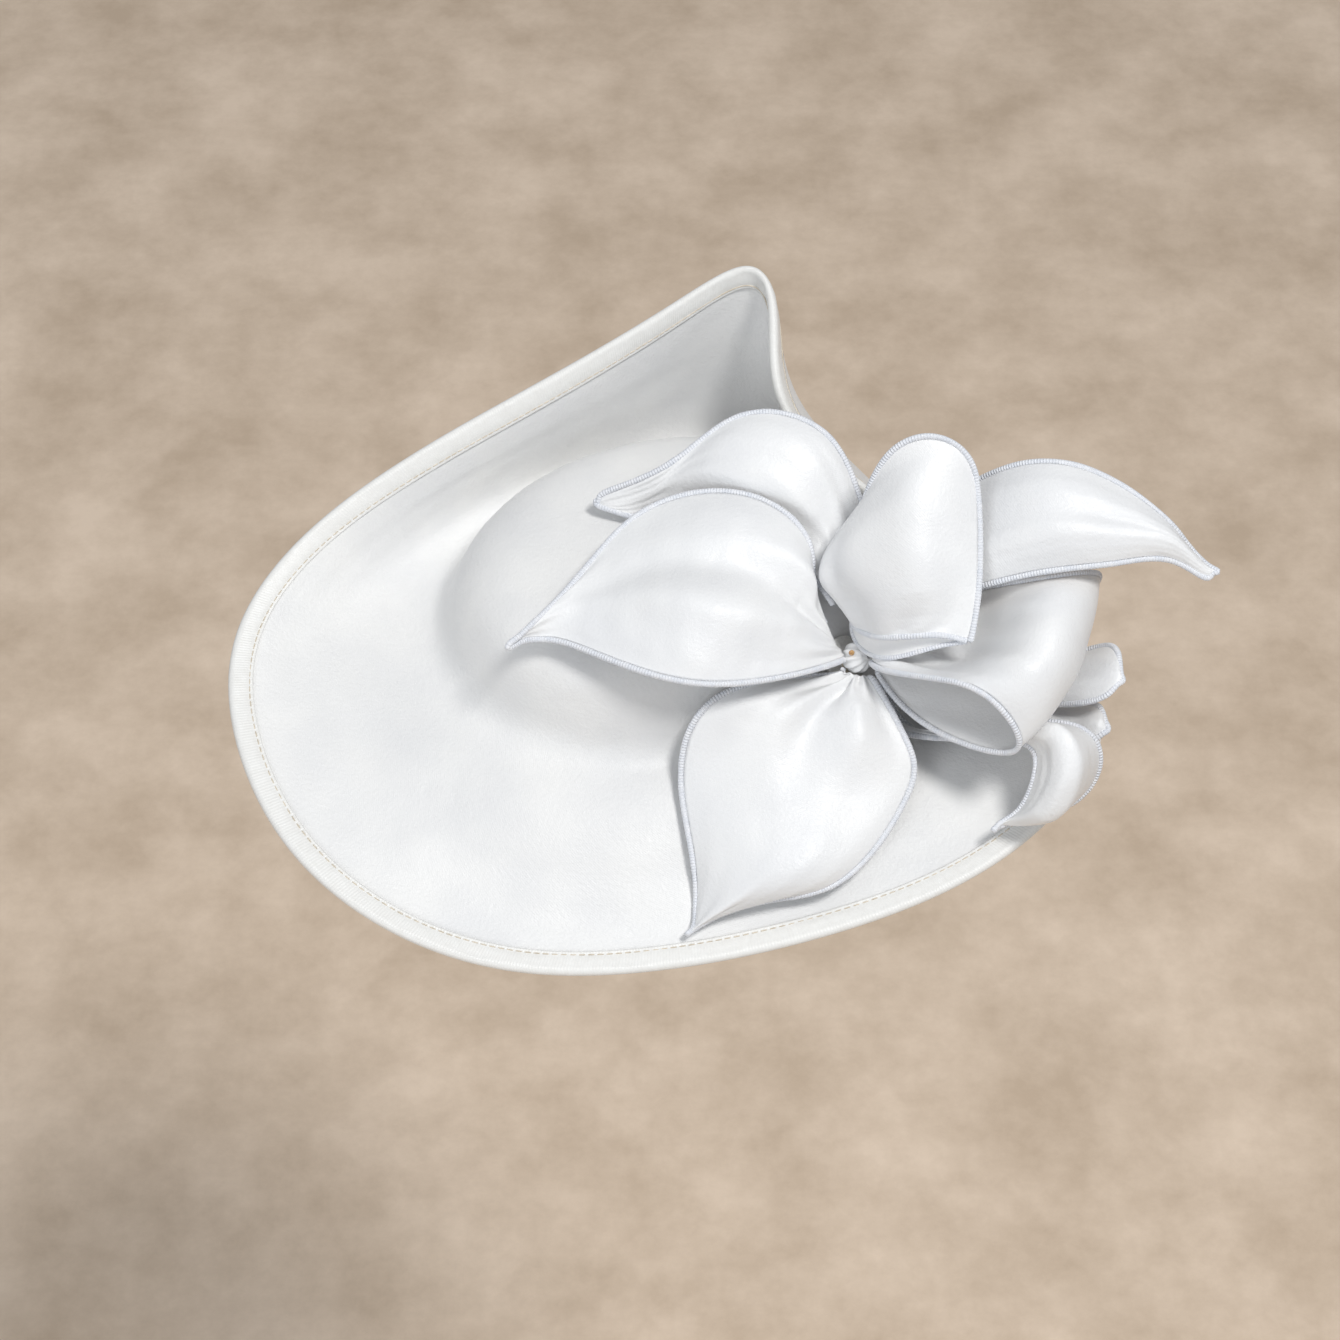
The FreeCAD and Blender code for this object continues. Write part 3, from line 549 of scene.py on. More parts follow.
GLUE = glue_material()
NODE_FINISHES = {
    "foundation": BUCKRAM, "top_cover": BODY_SATIN, "under_cover": BODY_SATIN,
    "crown_lining": LINING_SATIN, "edge_wire": WIRE, "edge_binding": BINDING,
    "base_plate": BUCKRAM, "head_ribbon": PETERSHAM, "base_lining": LINING_SATIN,
    "band_saddle": FELT, "band_stitches": SEWING_THREAD, "fixing_disc": FELT,
    "leaf_stem": LEAF_SATIN, "binding_thread": SEWING_THREAD,
    "band_tip_left": BAND_SATIN, "band_tip_right": BAND_SATIN,
}
for run in ("middle", "left_arm", "right_arm"):
    NODE_FINISHES[f"band_core_{run}"] = STEEL
    NODE_FINISHES[f"band_sleeve_{run}"] = BAND_SATIN
    NODE_FINISHES[f"band_grip_{run}"] = VELVET


def put(piece, material, body="headpiece"):
    """Give a piece its finish and the body it rides on."""
    piece.data.materials.clear()
    piece.data.materials.append(material)
    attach(piece, body)
    return piece


# --------------------------------------------------------------------------- body pieces


def dimple(points, normals, spots):
    """Press soft hollows into a surface: each is (x, y, width, depth) in millimetres."""
    moved = points.copy()
    for x, y, width, depth in spots:
        away = ((points[..., 0] - x * MM) ** 2 + (points[..., 1] - y * MM) ** 2)
        away = away / (width * MM) ** 2
        moved -= normals * (depth * MM * np.exp(-away))[..., None]
    return moved


SATIN_ROWS = 146
SATIN_COLUMNS = 320
SOFT_SPOTS = [(-86, -88, 10, 0.8), (-78, -112, 9, 0.7), (-96, -108, 7, -0.5),
              (-60, -118, 12, 0.5), (-122, -92, 9, 0.5), (-30, -122, 14, 0.4),
              (-112, -64, 12, 0.4), (30, -128, 12, 0.4)]

rows = np.linspace(0, LAST_ROW - 0.02, SATIN_ROWS)
around = np.arange(SATIN_COLUMNS) / SATIN_COLUMNS
face = body_points(COVER_FACE, rows, around)
outward = grid_normals(face, True)
face = dimple(face, outward, SOFT_SPOTS)
waviness = ripple(rows[:, None] * 1.6, around[None, :] * 40, 3)
settle = np.minimum(1, (LAST_ROW - rows) / 2.0)[:, None]
face = face + outward * (0.12 * MM * waviness * settle)[..., None]
top_satin = ring_sheet("brim_top_satin", face, body_points(COVER_BACK, rows, around), True)
turn_out(top_satin)
put(top_satin, BODY_SATIN)
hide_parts("top_cover")

UNDER_START = 5.05
under_rows = np.linspace(UNDER_START, LAST_ROW - 0.02, 80)
under_face = body_points(-COVER_FACE, under_rows, around)
under_back = body_points(-COVER_BACK, under_rows, around)
under_satin = ring_sheet("brim_under_satin", under_back, under_face, False)
turn_out(under_satin)
put(under_satin, BODY_SATIN)
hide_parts("under_cover")

crown_rows = np.linspace(0, UNDER_START - 0.1, 60)
lining_face = body_points(-COVER_FACE, crown_rows, around)
lining_face = lining_face + grid_normals(lining_face, True) * (
    0.10 * MM * ripple(crown_rows[:, None] * 2.5, around[None, :] * 60, 5))[..., None]
crown_lining = ring_sheet("crown_lining_satin", body_points(-COVER_BACK, crown_rows, around),
                          lining_face, True)
turn_out(crown_lining)
put(crown_lining, LINING_SATIN)
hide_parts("crown_lining")

# Bias binding: a strip folded round the edge, drawn in a little at each top stitch.
BIND_COLUMNS = 1240
STITCH_COUNT = 310
STITCH_ROW = LAST_ROW - 0.80
bind_around = np.arange(BIND_COLUMNS) / BIND_COLUMNS
bind_rows = np.linspace(LAST_ROW - 1.0, LAST_ROW, 13)


def pucker(rows_in, columns):
    """How far the binding sinks beside its stitches."""
    at_stitch = np.cos(columns * STITCH_COUNT * 2 * math.pi) * 0.5 + 0.5
    line = np.exp(-((rows_in - STITCH_ROW) / 0.12) ** 2)
    ridge = np.exp(-((rows_in - STITCH_ROW - 0.38) / 0.22) ** 2)
    return line[:, None] * (0.30 + 0.14 * at_stitch)[None, :] - ridge[:, None] * 0.22


def binding_side(sign):
    """One arm of the binding, from its inner edge to the rim."""
    points = body_points(sign * BINDING_FACE, bind_rows, bind_around)
    across = unit(points - body_points(0, bind_rows, bind_around))
    points = points - across * (pucker(bind_rows, bind_around) * 0.45 * MM)[..., None]
    lift = 0.10 * MM * ripple(bind_rows[:, None] * 2, bind_around[None, :] * 160, 8)
    edge = np.clip((bind_rows - bind_rows[0]) / 0.12, 0, 1)[:, None]
    return points + across * (lift * edge)[..., None]


upper_side = binding_side(1)
lower_side = binding_side(-1)
fold = []
for turn in np.linspace(90, -90, 11)[1:-1]:
    angle = math.radians(turn)
    fold.append(edge_points(BINDING_REACH * math.cos(angle), BINDING_FACE * math.sin(angle),
                            bind_around))
binding_face = np.concatenate([upper_side, np.array(fold), lower_side[::-1]])
inner_rows = bind_rows[[0, 6, 12]]
inner_up = body_points(COVER_FACE + 0.05 * MM, inner_rows, bind_around)
inner_low = body_points(-COVER_FACE - 0.05 * MM, inner_rows, bind_around)
inner_fold = edge_points(BINDING_REACH - 0.6 * MM, 0.0, bind_around)[None]
loop = np.concatenate([binding_face, inner_low, inner_fold, inner_up[::-1]])
quads = loop_faces(len(loop), BIND_COLUMNS)
EDGE_LENGTH = float(np.linalg.norm(np.roll(upper_side[-1], -1, 0) - upper_side[-1],
                                   axis=1).sum())
across_uv = np.concatenate([[0], np.cumsum(np.linalg.norm(np.diff(loop, axis=0),
                                                          axis=2).mean(axis=1))])
bind_uv = np.stack(np.meshgrid(across_uv, bind_around * EDGE_LENGTH, indexing="ij"),
                   axis=-1)[..., ::-1].reshape(-1, 2)
binding = new_piece("edge_bias_binding", loop.reshape(-1, 3), quads, bind_uv)
turn_out(binding)
put(binding, BINDING)
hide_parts("edge_binding")


def capsules(name, centres, along, up, length, radius, lift):
    """Row of short thread stitches: one rounded stitch, copied to every place."""
    rings = [(-0.5, 0.0), (-0.46, 0.6), (-0.3, 0.95), (0.0, 1.0), (0.3, 0.95), (0.46, 0.6),
             (0.5, 0.0)]
    sides = 6
    vertices = []
    faces = []
    side = unit(np.cross(along, up))
    for c, a, s, u in zip(centres, along, side, up):
        start = len(vertices)
        for share, width in rings:
            arch = lift * (1 - (2 * share) ** 2)
            for k in range(sides):
                angle = 2 * math.pi * k / sides
                vertices.append(c + a * (share * length) + u * arch
                                + (s * math.cos(angle) + u * math.sin(angle)) * radius * width)
        faces += grid_faces(len(rings), sides, True, start)
    piece = new_piece(name, vertices, faces)
    shape = bmesh.new()
    shape.from_mesh(piece.data)
    bmesh.ops.remove_doubles(shape, verts=shape.verts, dist=1e-7)
    bmesh.ops.recalc_face_normals(shape, faces=shape.faces)
    shape.to_mesh(piece.data)
    shape.free()
    return piece


for label, sign in (("upper", 1), ("under", -1)):
    at = (np.arange(STITCH_COUNT) + 0.5) / STITCH_COUNT
    spot = body_points(sign * (BINDING_FACE - 0.12 * MM), [STITCH_ROW], at)[0]
    ahead = body_points(sign * (BINDING_FACE - 0.12 * MM), [STITCH_ROW], at + 0.0005)[0]
    outward_at = unit(spot - body_points(0, [STITCH_ROW], at)[0])
    stitches = capsules(f"binding_stitches_{label}", spot, unit(ahead - spot), outward_at,
                        2.5 * MM, 0.24 * MM, 0.10 * MM)
    put(stitches, SEWING_THREAD)

# --------------------------------------------------------------------------- leaves

LEAVES = {
    "front_left_leaf": [
        [(66, -47, 29), (63, -44, 32), (60, -38, 34)],
        [(45, -66, 42), (50, -46, 50), (54, -26, 54)],
        [(24, -74, 47), (35, -46, 60), (47, -13, 65)],
        [(4, -75, 50), (14, -44, 66), (26, -2, 69)],
        [(-17, -67, 50), (-10, -39, 61), (-2, -3, 65)],
        [(-38, -55, 48), (-33, -41, 55), (-26, -22, 58)],
        [(-59, -62, 50), (-58, -60, 51), (-57, -59, 52)],
    ],
    "back_left_leaf": [
        [(63, -33, 42), (66, -31, 43), (69, -30, 42)],
        [(52, -21, 49), (62, -13, 54), (75, 0, 55)],
        [(39, -11, 50), (56, -2, 64), (69, 8, 66)],
        [(24, -3, 51), (41, 5, 73), (56, 22, 79)],
        [(9, 4, 51), (20, 12, 73), (32, 29, 80)],
        [(-4, 9, 49), (3, 13, 63), (10, 21, 71)],
        [(-12, 8, 48), (-13, 10, 53), (-14, 13, 58)],
        [(-27, 11, 49), (-27, 12, 50), (-26, 12, 51)],
    ],
    "lower_leaf": [
        [(66, -51, 25), (70, -53, 25), (74, -53, 24)],
        [(43, -58, 28), (62, -65, 25), (82, -67, 21)],
        [(14, -72, 27), (52, -81, 20), (90, -82, 11)],
        [(6, -85, 9), (47, -96, 10), (87, -94, 2)],
        [(8, -103, -2), (43, -115, 3), (71, -116, -7)],
        [(11, -121, -15), (28, -130, -8), (45, -127, -14)],
        [(7, -138, -22), (8, -138, -21), (9, -137, -21)],
    ],
    "standing_leaf": [
        [(69, -37, 38), (71, -45, 41), (80, -56, 50), (93, -60, 56), (109, -62, 55)],
        [(67, -30, 46), (62, -38, 54), (80, -48, 68), (99, -49, 72), (112, -51, 66)],
        [(66, -22, 55), (58, -31, 63), (76, -34, 79), (95, -35, 85), (113, -38, 76)],
        [(69, -14, 64), (65, -20, 72), (80, -20, 89), (97, -20, 95), (113, -24, 85)],
        [(72, -8, 72), (73, -12, 80), (83, -8, 98), (99, -7, 103), (112, -14, 94)],
    ],
    "right_wing_leaf": [
        [(78, -34, 43), (78, -31, 45), (78, -28, 46)],
        [(94, -37, 52), (93, -30, 60), (93, -18, 62)],
        [(112, -40, 61), (111, -27, 73), (113, -4, 76)],
        [(136, -42, 72), (135, -30, 88), (137, -8, 92)],
        [(158, -42, 76), (157, -32, 88), (159, -13, 90)],
        [(176, -39, 76), (176, -34, 84), (177, -23, 84)],
        [(191, -41, 72), (190, -38, 77), (189, -32, 76)],
        [(199, -42, 70), (200, -42, 71), (200, -41, 71)],
    ],
    "folded_loop": [
        [(76, -51, 32), (79, -46, 33), (81, -40, 34)],
        [(88, -69, 45), (99, -48, 37), (100, -32, 42)],
        [(105, -81, 55), (118, -59, 50), (123, -35, 54)],
        [(119, -90, 54), (134, -74, 67), (143, -41, 66)],
        [(128, -97, 40), (147, -76, 53), (159, -34, 59)],
        [(116, -90, 28), (138, -69, 38), (152, -33, 45)],
        [(95, -73, 23), (110, -60, 29), (124, -32, 36)],
        [(79, -52, 26), (82, -47, 27), (85, -41, 28)],
    ],
    "far_right_leaf": [
        [(83, -45, 20), (85, -41, 20), (86, -37, 20)],
        [(108, -57, 19), (110, -51, 22), (112, -43, 22)],
        [(136, -64, 23), (140, -57, 29), (145, -48, 29)],
        [(154, -73, 35), (158, -65, 41), (162, -53, 41)],
        [(165, -73, 44), (166, -71, 45), (166, -69, 45)],
    ],
    "small_right_leaf": [
        [(82, -50, 18), (83, -49, 17), (84, -48, 16)],
        [(106, -65, 12), (110, -60, 14), (113, -55, 12)],
        [(134, -75, 14), (139, -69, 19), (145, -61, 17)],
        [(150, -82, 20), (154, -76, 26), (158, -68, 25)],
        [(160, -82, 26), (161, -80, 27), (162, -78, 27)],
    ],
    "lower_right_leaf": [
        [(77, -54, 18), (79, -53, 18), (81, -52, 17)],
        [(103, -73, 13), (107, -73, 15), (111, -72, 12)],
        [(131, -86, 26), (137, -88, 35), (143, -82, 32)],
        [(135, -96, 24), (145, -98, 33), (157, -89, 27)],
        [(132, -102, 13), (142, -107, 22), (155, -96, 12)],
        [(126, -105, 5), (132, -107, 9), (139, -102, 4)],
        [(118, -110, 1), (121, -107, 3), (125, -104, 1)],
    ],
}
KNOT = np.array([73, -45, 24]) * MM
FOOT_PLANE = np.array([0, 0, CROWN_FOOT])

# How each leaf's satin is gathered: pleats across it at the knot, how deep they are there,
# how far out they fade, and its own crinkle: (pleats, depth mm, fade share, crinkle mm).
GATHERS = {
    "front_left_leaf": (4, 1.0, 0.20, 0.6),
    "back_left_leaf": (4, 0.8, 0.20, 0.5),
    "lower_leaf": (4, 1.5, 0.22, 0.7),
    "standing_leaf": (4, 0.8, 0.20, 0.5),
    "right_wing_leaf": (4, 0.8, 0.20, 0.3),
    "folded_loop": (4, 1.6, 0.22, 0.5),
    "far_right_leaf": (4, 1.0, 0.30, 0.4),
    "small_right_leaf": (3, 1.0, 0.30, 0.4),
    "lower_right_leaf": (4, 1.4, 0.26, 0.6),
}
# Long soft folds along a leaf: (place across, width, height mm, start, end).
FOLDS = {
    "front_left_leaf": [(0.62, 0.10, -4.0, 0.05, 0.75), (0.40, 0.12, 2.5, 0.1, 0.8),
                        (0.80, 0.07, 3.0, 0.05, 0.45)],
    "back_left_leaf": [(0.40, 0.12, 2.0, 0.15, 0.85)],
    "lower_leaf": [(0.48, 0.10, 3.0, 0.0, 0.55), (0.68, 0.09, -4.0, 0.05, 0.5),
                   (0.25, 0.14, 1.5, 0.2, 0.8)],
    "standing_leaf": [(0.30, 0.07, -2.5, 0.05, 0.7), (0.62, 0.12, 2.0, 0.1, 0.9)],
    "right_wing_leaf": [(0.55, 0.14, 1.8, 0.1, 0.8)],
    "folded_loop": [(0.45, 0.14, 1.8, 0.1, 0.5)],
    "far_right_leaf": [(0.5, 0.2, 1.0, 0.1, 0.8)],
    "small_right_leaf": [(0.5, 0.2, 1.0, 0.1, 0.8)],
    "lower_right_leaf": [(0.5, 0.24, -5.0, 0.25, 1.0)],
}
# Leaves whose ends stay blunt, not drawn in to a tip.
BLUNT = ("standing_leaf", "folded_loop")
LEAF_ROWS = 150
LEAF_COLUMNS = 84
HEM_STEP = 0.9 * MM
HEM_WAVE = 0.35


def leaf_middle(name):
    """Middle surface of a leaf with its gathers and folds, and its normals."""
    poles = np.array(LEAVES[name], float) * MM + FOOT_PLANE
    along_degree = min(3, poles.shape[0] - 1)
    across_degree = min(3, poles.shape[1] - 1)
    net = through(poles, along_degree)
    net = through(net.transpose(1, 0, 2), across_degree).transpose(1, 0, 2)
    s = np.linspace(0, 1, LEAF_ROWS)
    c = np.linspace(0, 1, LEAF_COLUMNS)
    middle = np.einsum("ai,ijk,cj->ack", clamped_basis(poles.shape[0], along_degree, s), net,
                       clamped_basis(poles.shape[1], across_degree, c))
    normals = grid_normals(middle, False)
    if name not in BLUNT:
        taper = 1 - 0.75 * np.clip((s - 0.90) / 0.10, 0, 1) ** 2
        spine = middle.mean(axis=1, keepdims=True)
        middle = spine + (middle - spine) * taper[:, None, None]
    pleats, depth, fade, crinkle = GATHERS[name]
    s2, c2 = s[:, None], c[None, :]
    inside = np.clip(np.minimum(c2, 1 - c2) / 0.10, 0, 1)
    shift = depth * np.cos(2 * math.pi * pleats * c2 + 1.3) * np.exp(-(s2 / fade) ** 1.5)
    shift = shift * np.clip(s2 / 0.04, 0, 1) * inside
    for place, width, height, start, end in FOLDS[name]:
        run = np.clip((s2 - start) / 0.12, 0, 1) * np.clip((end - s2) / 0.25, 0, 1)
        wander = place + 0.03 * np.sin(5 * s2 + place * 9)
        shift = shift + height * run * np.exp(-((c2 - wander) / width) ** 2)
    seed = sum(name.encode())
    soft = ripple(s2 * 9, c2 * 7, seed)
    fine = ripple(s2 * 26, c2 * 16, seed + 1)
    shift = shift + crinkle * (0.6 * soft + 0.25 * fine) * inside * np.clip((1 - s2) / 0.1, 0, 1)
    return middle + normals * (shift * MM)[..., None], normals


def smooth_chain(chain, step):
    """The same chain of points at even steps, its corners eased."""
    steps = np.concatenate([[0], np.cumsum(np.linalg.norm(np.diff(chain, axis=0), axis=1))])
    even = np.linspace(0, steps[-1], int(steps[-1] / step))
    path = np.stack([np.interp(even, steps, chain[:, k]) for k in range(3)], axis=1)
    for _ in range(3):
        path[1:-1] = (path[:-2] + 2 * path[1:-1] + path[2:]) / 4
    return path


def hem_path(middle):
    """Chain of points just outside a leaf's two long edges and round its tip."""
    reach = HEM_RADIUS + 0.1 * MM
    left = middle[1:, 0] + unit(middle[1:, 0] - middle[1:, 2]) * reach
    right = middle[1:, -1] + unit(middle[1:, -1] - middle[1:, -3]) * reach
    width = np.linalg.norm(middle[-1, 0] - middle[-1, -1])
    ahead = unit(middle[-1] - middle[-4])
    if width > 12 * MM:
        tip = middle[-1, 1:-1] + ahead[1:-1] * reach
    else:
        mid = len(middle[-1]) // 2
        tip = middle[-1, mid:mid + 1] + ahead[mid:mid + 1] * reach * 1.4
    return smooth_chain(np.concatenate([left, tip, right[::-1]]), HEM_STEP)


def front_fold(middle):
    """The standing leaf's back layer, showing as a soft lip below its lower hem."""
    c = np.linspace(0, 1, middle.shape[1])
    top = middle[0] + np.array([0, 0.4, -0.6]) * MM
    drop = np.sin(math.pi * c) ** 0.8
    rings = []
    for share in np.linspace(0, 1, 26):
        sink = np.sin(math.pi * share) * 3.5
        shift = np.stack([0 * c, -1.6 * share * drop + sink * drop, -9.5 * share * drop],
                         axis=1) * MM
        rings.append(top + shift)
    return np.array(rings)


def leaf(name):
    """One satin leaf and the rolled hem that runs round it."""
    middle, normals = leaf_middle(name)
    blade = open_sheet(name + "_satin", middle, LEAF_THICKNESS, normals)
    put(blade, LEAF_SATIN)
    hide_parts(name)
    path = hem_path(middle)
    if name == "standing_leaf":
        lower_hem = tube(name + "_lower_hem", smooth_chain(middle[0], HEM_STEP), HEM_RADIUS)
        put(lower_hem, HEM_THREAD_PAINTED_SHADE)
        fold_grid = front_fold(middle)
        lip = open_sheet(name + "_back_layer", fold_grid, LEAF_THICKNESS,
                         grid_normals(fold_grid, False))
        put(lip, LEAF_SATIN)
        lip_hem = tube(name + "_back_hem", smooth_chain(fold_grid[-1], HEM_STEP),
                       0.8 * HEM_RADIUS)
        put(lip_hem, HEM_THREAD_PAINTED_SHADE)
    seed = sum(name.encode())
    place = np.arange(len(path)) * 0.9
    thickness = HEM_RADIUS * (1 + 0.05 * ripple(place * HEM_WAVE, place * 0.0, seed))
    hem = tube(name + "_rolled_hem", path, thickness)
    put(hem, HEM_THREAD_PAINTED_SHADE)
    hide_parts(name + "_hem")


for leaf_name in LEAVES:
    leaf(leaf_name)

# --------------------------------------------------------------------------- knot

STEM_AXIS = unit(np.array([0.68, -0.42, 0.6]))
STEM_TOP = KNOT + FOOT_PLANE
GATHER_SHIFT = np.array([-2.0, -1.0, 3.0]) * MM
GATHER_RADIUS = 5.6 * MM
GATHER_HALF = 6.0 * MM
GLUE_SHIFT = np.array([-4.5, -3.5, 8.5]) * MM
GLUE_RADIUS = 1.1 * MM
DISC_RADIUS = 10 * MM
DISC_THICKNESS = 1.5 * MM


def gathered_centre():
    """Small pleated bundle where the leaves' ends are drawn together."""
    side = unit(np.cross(STEM_AXIS, [0.0, 0.0, 1.0]))
    up = np.cross(side, STEM_AXIS)
    turn = np.linspace(0, 2 * math.pi, 145)[:-1]
    rings = []
    for climb in np.linspace(0.06, 0.94, 30):
        lean = math.pi * climb
        pleat = 1 + 0.10 * np.sin(11 * turn + 1.5 * math.sin(3 * climb)) * math.sin(lean)
        radius = GATHER_RADIUS * math.sin(lean) * pleat
        height = GATHER_HALF * math.cos(lean)
        rings.append(STEM_TOP + GATHER_SHIFT + STEM_AXIS * height
                     + side * (np.cos(turn) * radius)[:, None]
                     + up * (np.sin(turn) * radius)[:, None])
    return capped("knot_gather", rings, arc_uv(np.array(rings)))


put(gathered_centre(), LEAF_SATIN)

bpy.ops.object.select_all(action="DESELECT")
bpy.ops.mesh.primitive_uv_sphere_add(segments=20, ring_count=12, radius=GLUE_RADIUS,
                                     location=tuple(STEM_TOP + GLUE_SHIFT))
drop = bpy.context.object
drop.name = "glue_drop"
drop.scale = (1.0, 0.7, 1.25)
bpy.ops.object.transform_apply(location=True, rotation=True, scale=True)
bpy.ops.object.shade_smooth()
bpy.ops.object.select_all(action="DESELECT")
put(drop, GLUE)

# Felt disc with a softened edge.
disc_low, disc_high = (np.array(corner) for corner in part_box("fixing_disc"))
bpy.ops.mesh.primitive_cylinder_add(vertices=64, radius=DISC_RADIUS,
                                    depth=DISC_THICKNESS,
                                    location=tuple((disc_low + disc_high) / 2))
felt_disc = bpy.context.object
felt_disc.name = "fixing_disc_felt"
felt_disc.rotation_euler = Vector(STEM_AXIS).to_track_quat("Z", "Y").to_euler()
bpy.ops.object.transform_apply(location=True, rotation=True, scale=True)
bevel = felt_disc.modifiers.new("Soft edge", "BEVEL")
bevel.width = 0.4 * MM
bevel.segments = 3
bpy.ops.object.modifier_apply(modifier=bevel.name)
bpy.ops.object.shade_smooth()
bpy.ops.object.select_all(action="DESELECT")
put(felt_disc, FELT)
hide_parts("fixing_disc")

# --------------------------------------------------------------------------- underside

BASE_LONG, BASE_SHORT = CROWN_LENGTH / 2 * 1.07, CROWN_WIDTH / 2 * 1.07
RIBBON_WIDTH = 10.0 * MM
RIBBON_LOW, RIBBON_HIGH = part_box("head_ribbon")[0][2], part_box("head_ribbon")[1][2]
LINING_LOW, LINING_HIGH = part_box("base_lining")[0][2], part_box("base_lining")[1][2]


def oval_points(inset, height, count):
    angle = np.arange(count) / count * 2 * math.pi
    x = (BASE_LONG - inset) * np.cos(angle)
    y = (BASE_SHORT - inset) * np.sin(angle)
    turn = math.radians(CROWN_TURN)
    return np.stack([x * math.cos(turn) - y * math.sin(turn),
                     x * math.sin(turn) + y * math.cos(turn),
                     np.broadcast_to(height, (count,))], axis=1)


def ribbed_ribbon():
    """Petersham ribbon laid flat round the oval, its woven ribs standing across it."""
    count = 1080
    ribs = np.cos(np.arange(count) * 2 * math.pi / 4)
    thick = RIBBON_HIGH - RIBBON_LOW
    insets = np.array([0.0, 0.25, 1.0, 3.0, 5.0, 7.0, 9.0, 9.75, 10.0]) * MM
    edge = np.array([0.45, 0.05, 0.0, 0.0, 0.0, 0.0, 0.0, 0.05, 0.45])
    lower = [oval_points(np.clip(inset + 0.12 * MM * ribs * (0.3 if e else 0), 0, RIBBON_WIDTH),
                         RIBBON_LOW + thick * e + 0.10 * MM * (ribs + 1) * (e == 0), count)
             for inset, e in zip(insets, edge)]
    upper = [oval_points(inset, RIBBON_HIGH - thick * e, count)
             for inset, e in zip(insets[::-1], edge[::-1])]
    loop_points = np.array(lower + upper[1:-1])
    turns = len(loop_points)
    quads = loop_faces(turns, count)
    uv = np.stack(np.meshgrid(np.arange(turns) * 0.001, np.arange(count) * 0.0005,
                              indexing="ij"), axis=-1)[..., ::-1].reshape(-1, 2)
    return turn_out(new_piece("petersham_ribbon", loop_points.reshape(-1, 3), quads, uv))


ribbon = ribbed_ribbon()
put(ribbon, PETERSHAM)
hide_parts("head_ribbon")


def gathered_lining():
    """Oval lining, gathered in fine pleats towards its edge."""
    count = 480
    rings = np.linspace(0.02, 1.0, 44)
    inset = RIBBON_WIDTH + 0.15 * MM
    angle = np.arange(count) / count * 2 * math.pi
    rim = oval_points(inset, 0.0, count)
    faces_low = []
    faces_high = []
    for share in rings:
        pleat = np.sin(angle * 46 + 0.8 * np.sin(angle * 5)) * np.clip(share, 0, 1) ** 2
        depth = 0.11 * MM * pleat * (share < 0.995)
        low = rim * share
        low[:, 2] = LINING_LOW + 0.14 * MM + depth
        high = rim * share
        high[:, 2] = LINING_HIGH - 0.02 * MM
        faces_low.append(low)
        faces_high.append(high)
    piece = ring_sheet("base_lining_satin", np.array(faces_high), np.array(faces_low), True)
    return turn_out(piece)


lining = gathered_lining()
put(lining, LINING_SATIN)
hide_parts("base_lining")

# --------------------------------------------------------------------------- headband

BAND_RADIUS = 66 * MM
SLEEVE_INNER = BAND_RADIUS + 0.9 * MM
SLEEVE_OUTER = BAND_RADIUS + 3.9 * MM
SLEEVE_HALF = 5.3 * MM
GAP_ANGLE = math.degrees(0.6 / 69.1)
MIDDLE_HALF = 30.0
ARM_ANGLE = 68.0
CAP_ANGLE = math.degrees(9 / 66)


def band_points(angle, radial, across):
    """Point on the band: angle from +X towards +Z, distance from the axis, and along Y."""
    a = np.radians(angle)
    return np.stack([radial * np.cos(a), np.broadcast_to(across, np.shape(a)),
                     radial * np.sin(a)], axis=-1)


def band_tube(name, start, end, inner, outer, half, corner, ripple_depth, closed_end=0.0):
    """Strip bent round the head with rounded edges; closed_end rounds its far end."""
    steps = max(8, int(abs(end - start) / 0.6))
    angle = np.linspace(start, end, steps)
    section = []
    for cx, cy, first in ((outer - corner, half - corner, 0), (inner + corner, half - corner, 90),
                          (inner + corner, -half + corner, 180),
                          (outer - corner, -half + corner, 270)):
        for k in range(5):
            a = math.radians(first + k * 22.5)
            section.append((cx + corner * math.cos(a), cy + corner * math.sin(a)))
    section = np.array(section)
    middle = np.array([(inner + outer) / 2, 0.0])
    rings = []
    for index, a in enumerate(angle):
        share = index / (steps - 1)
        shrink = 1.0
        if closed_end > 0:
            left = (1 - share) * abs(end - start) * math.radians(1) * outer
            if left < closed_end:
                shrink = math.sqrt(max(1 - (1 - left / closed_end) ** 2, 0.02))
        wrinkle = ripple_depth * math.sin(a * 2.1) * 0.5
        here = middle + (section - middle) * shrink
        rings.append(band_points(np.full(len(section), a), here[:, 0] - wrinkle * (
            section[:, 0] > middle[0]), here[:, 1]))
    return capped(name, rings, arc_uv(np.array(rings)))


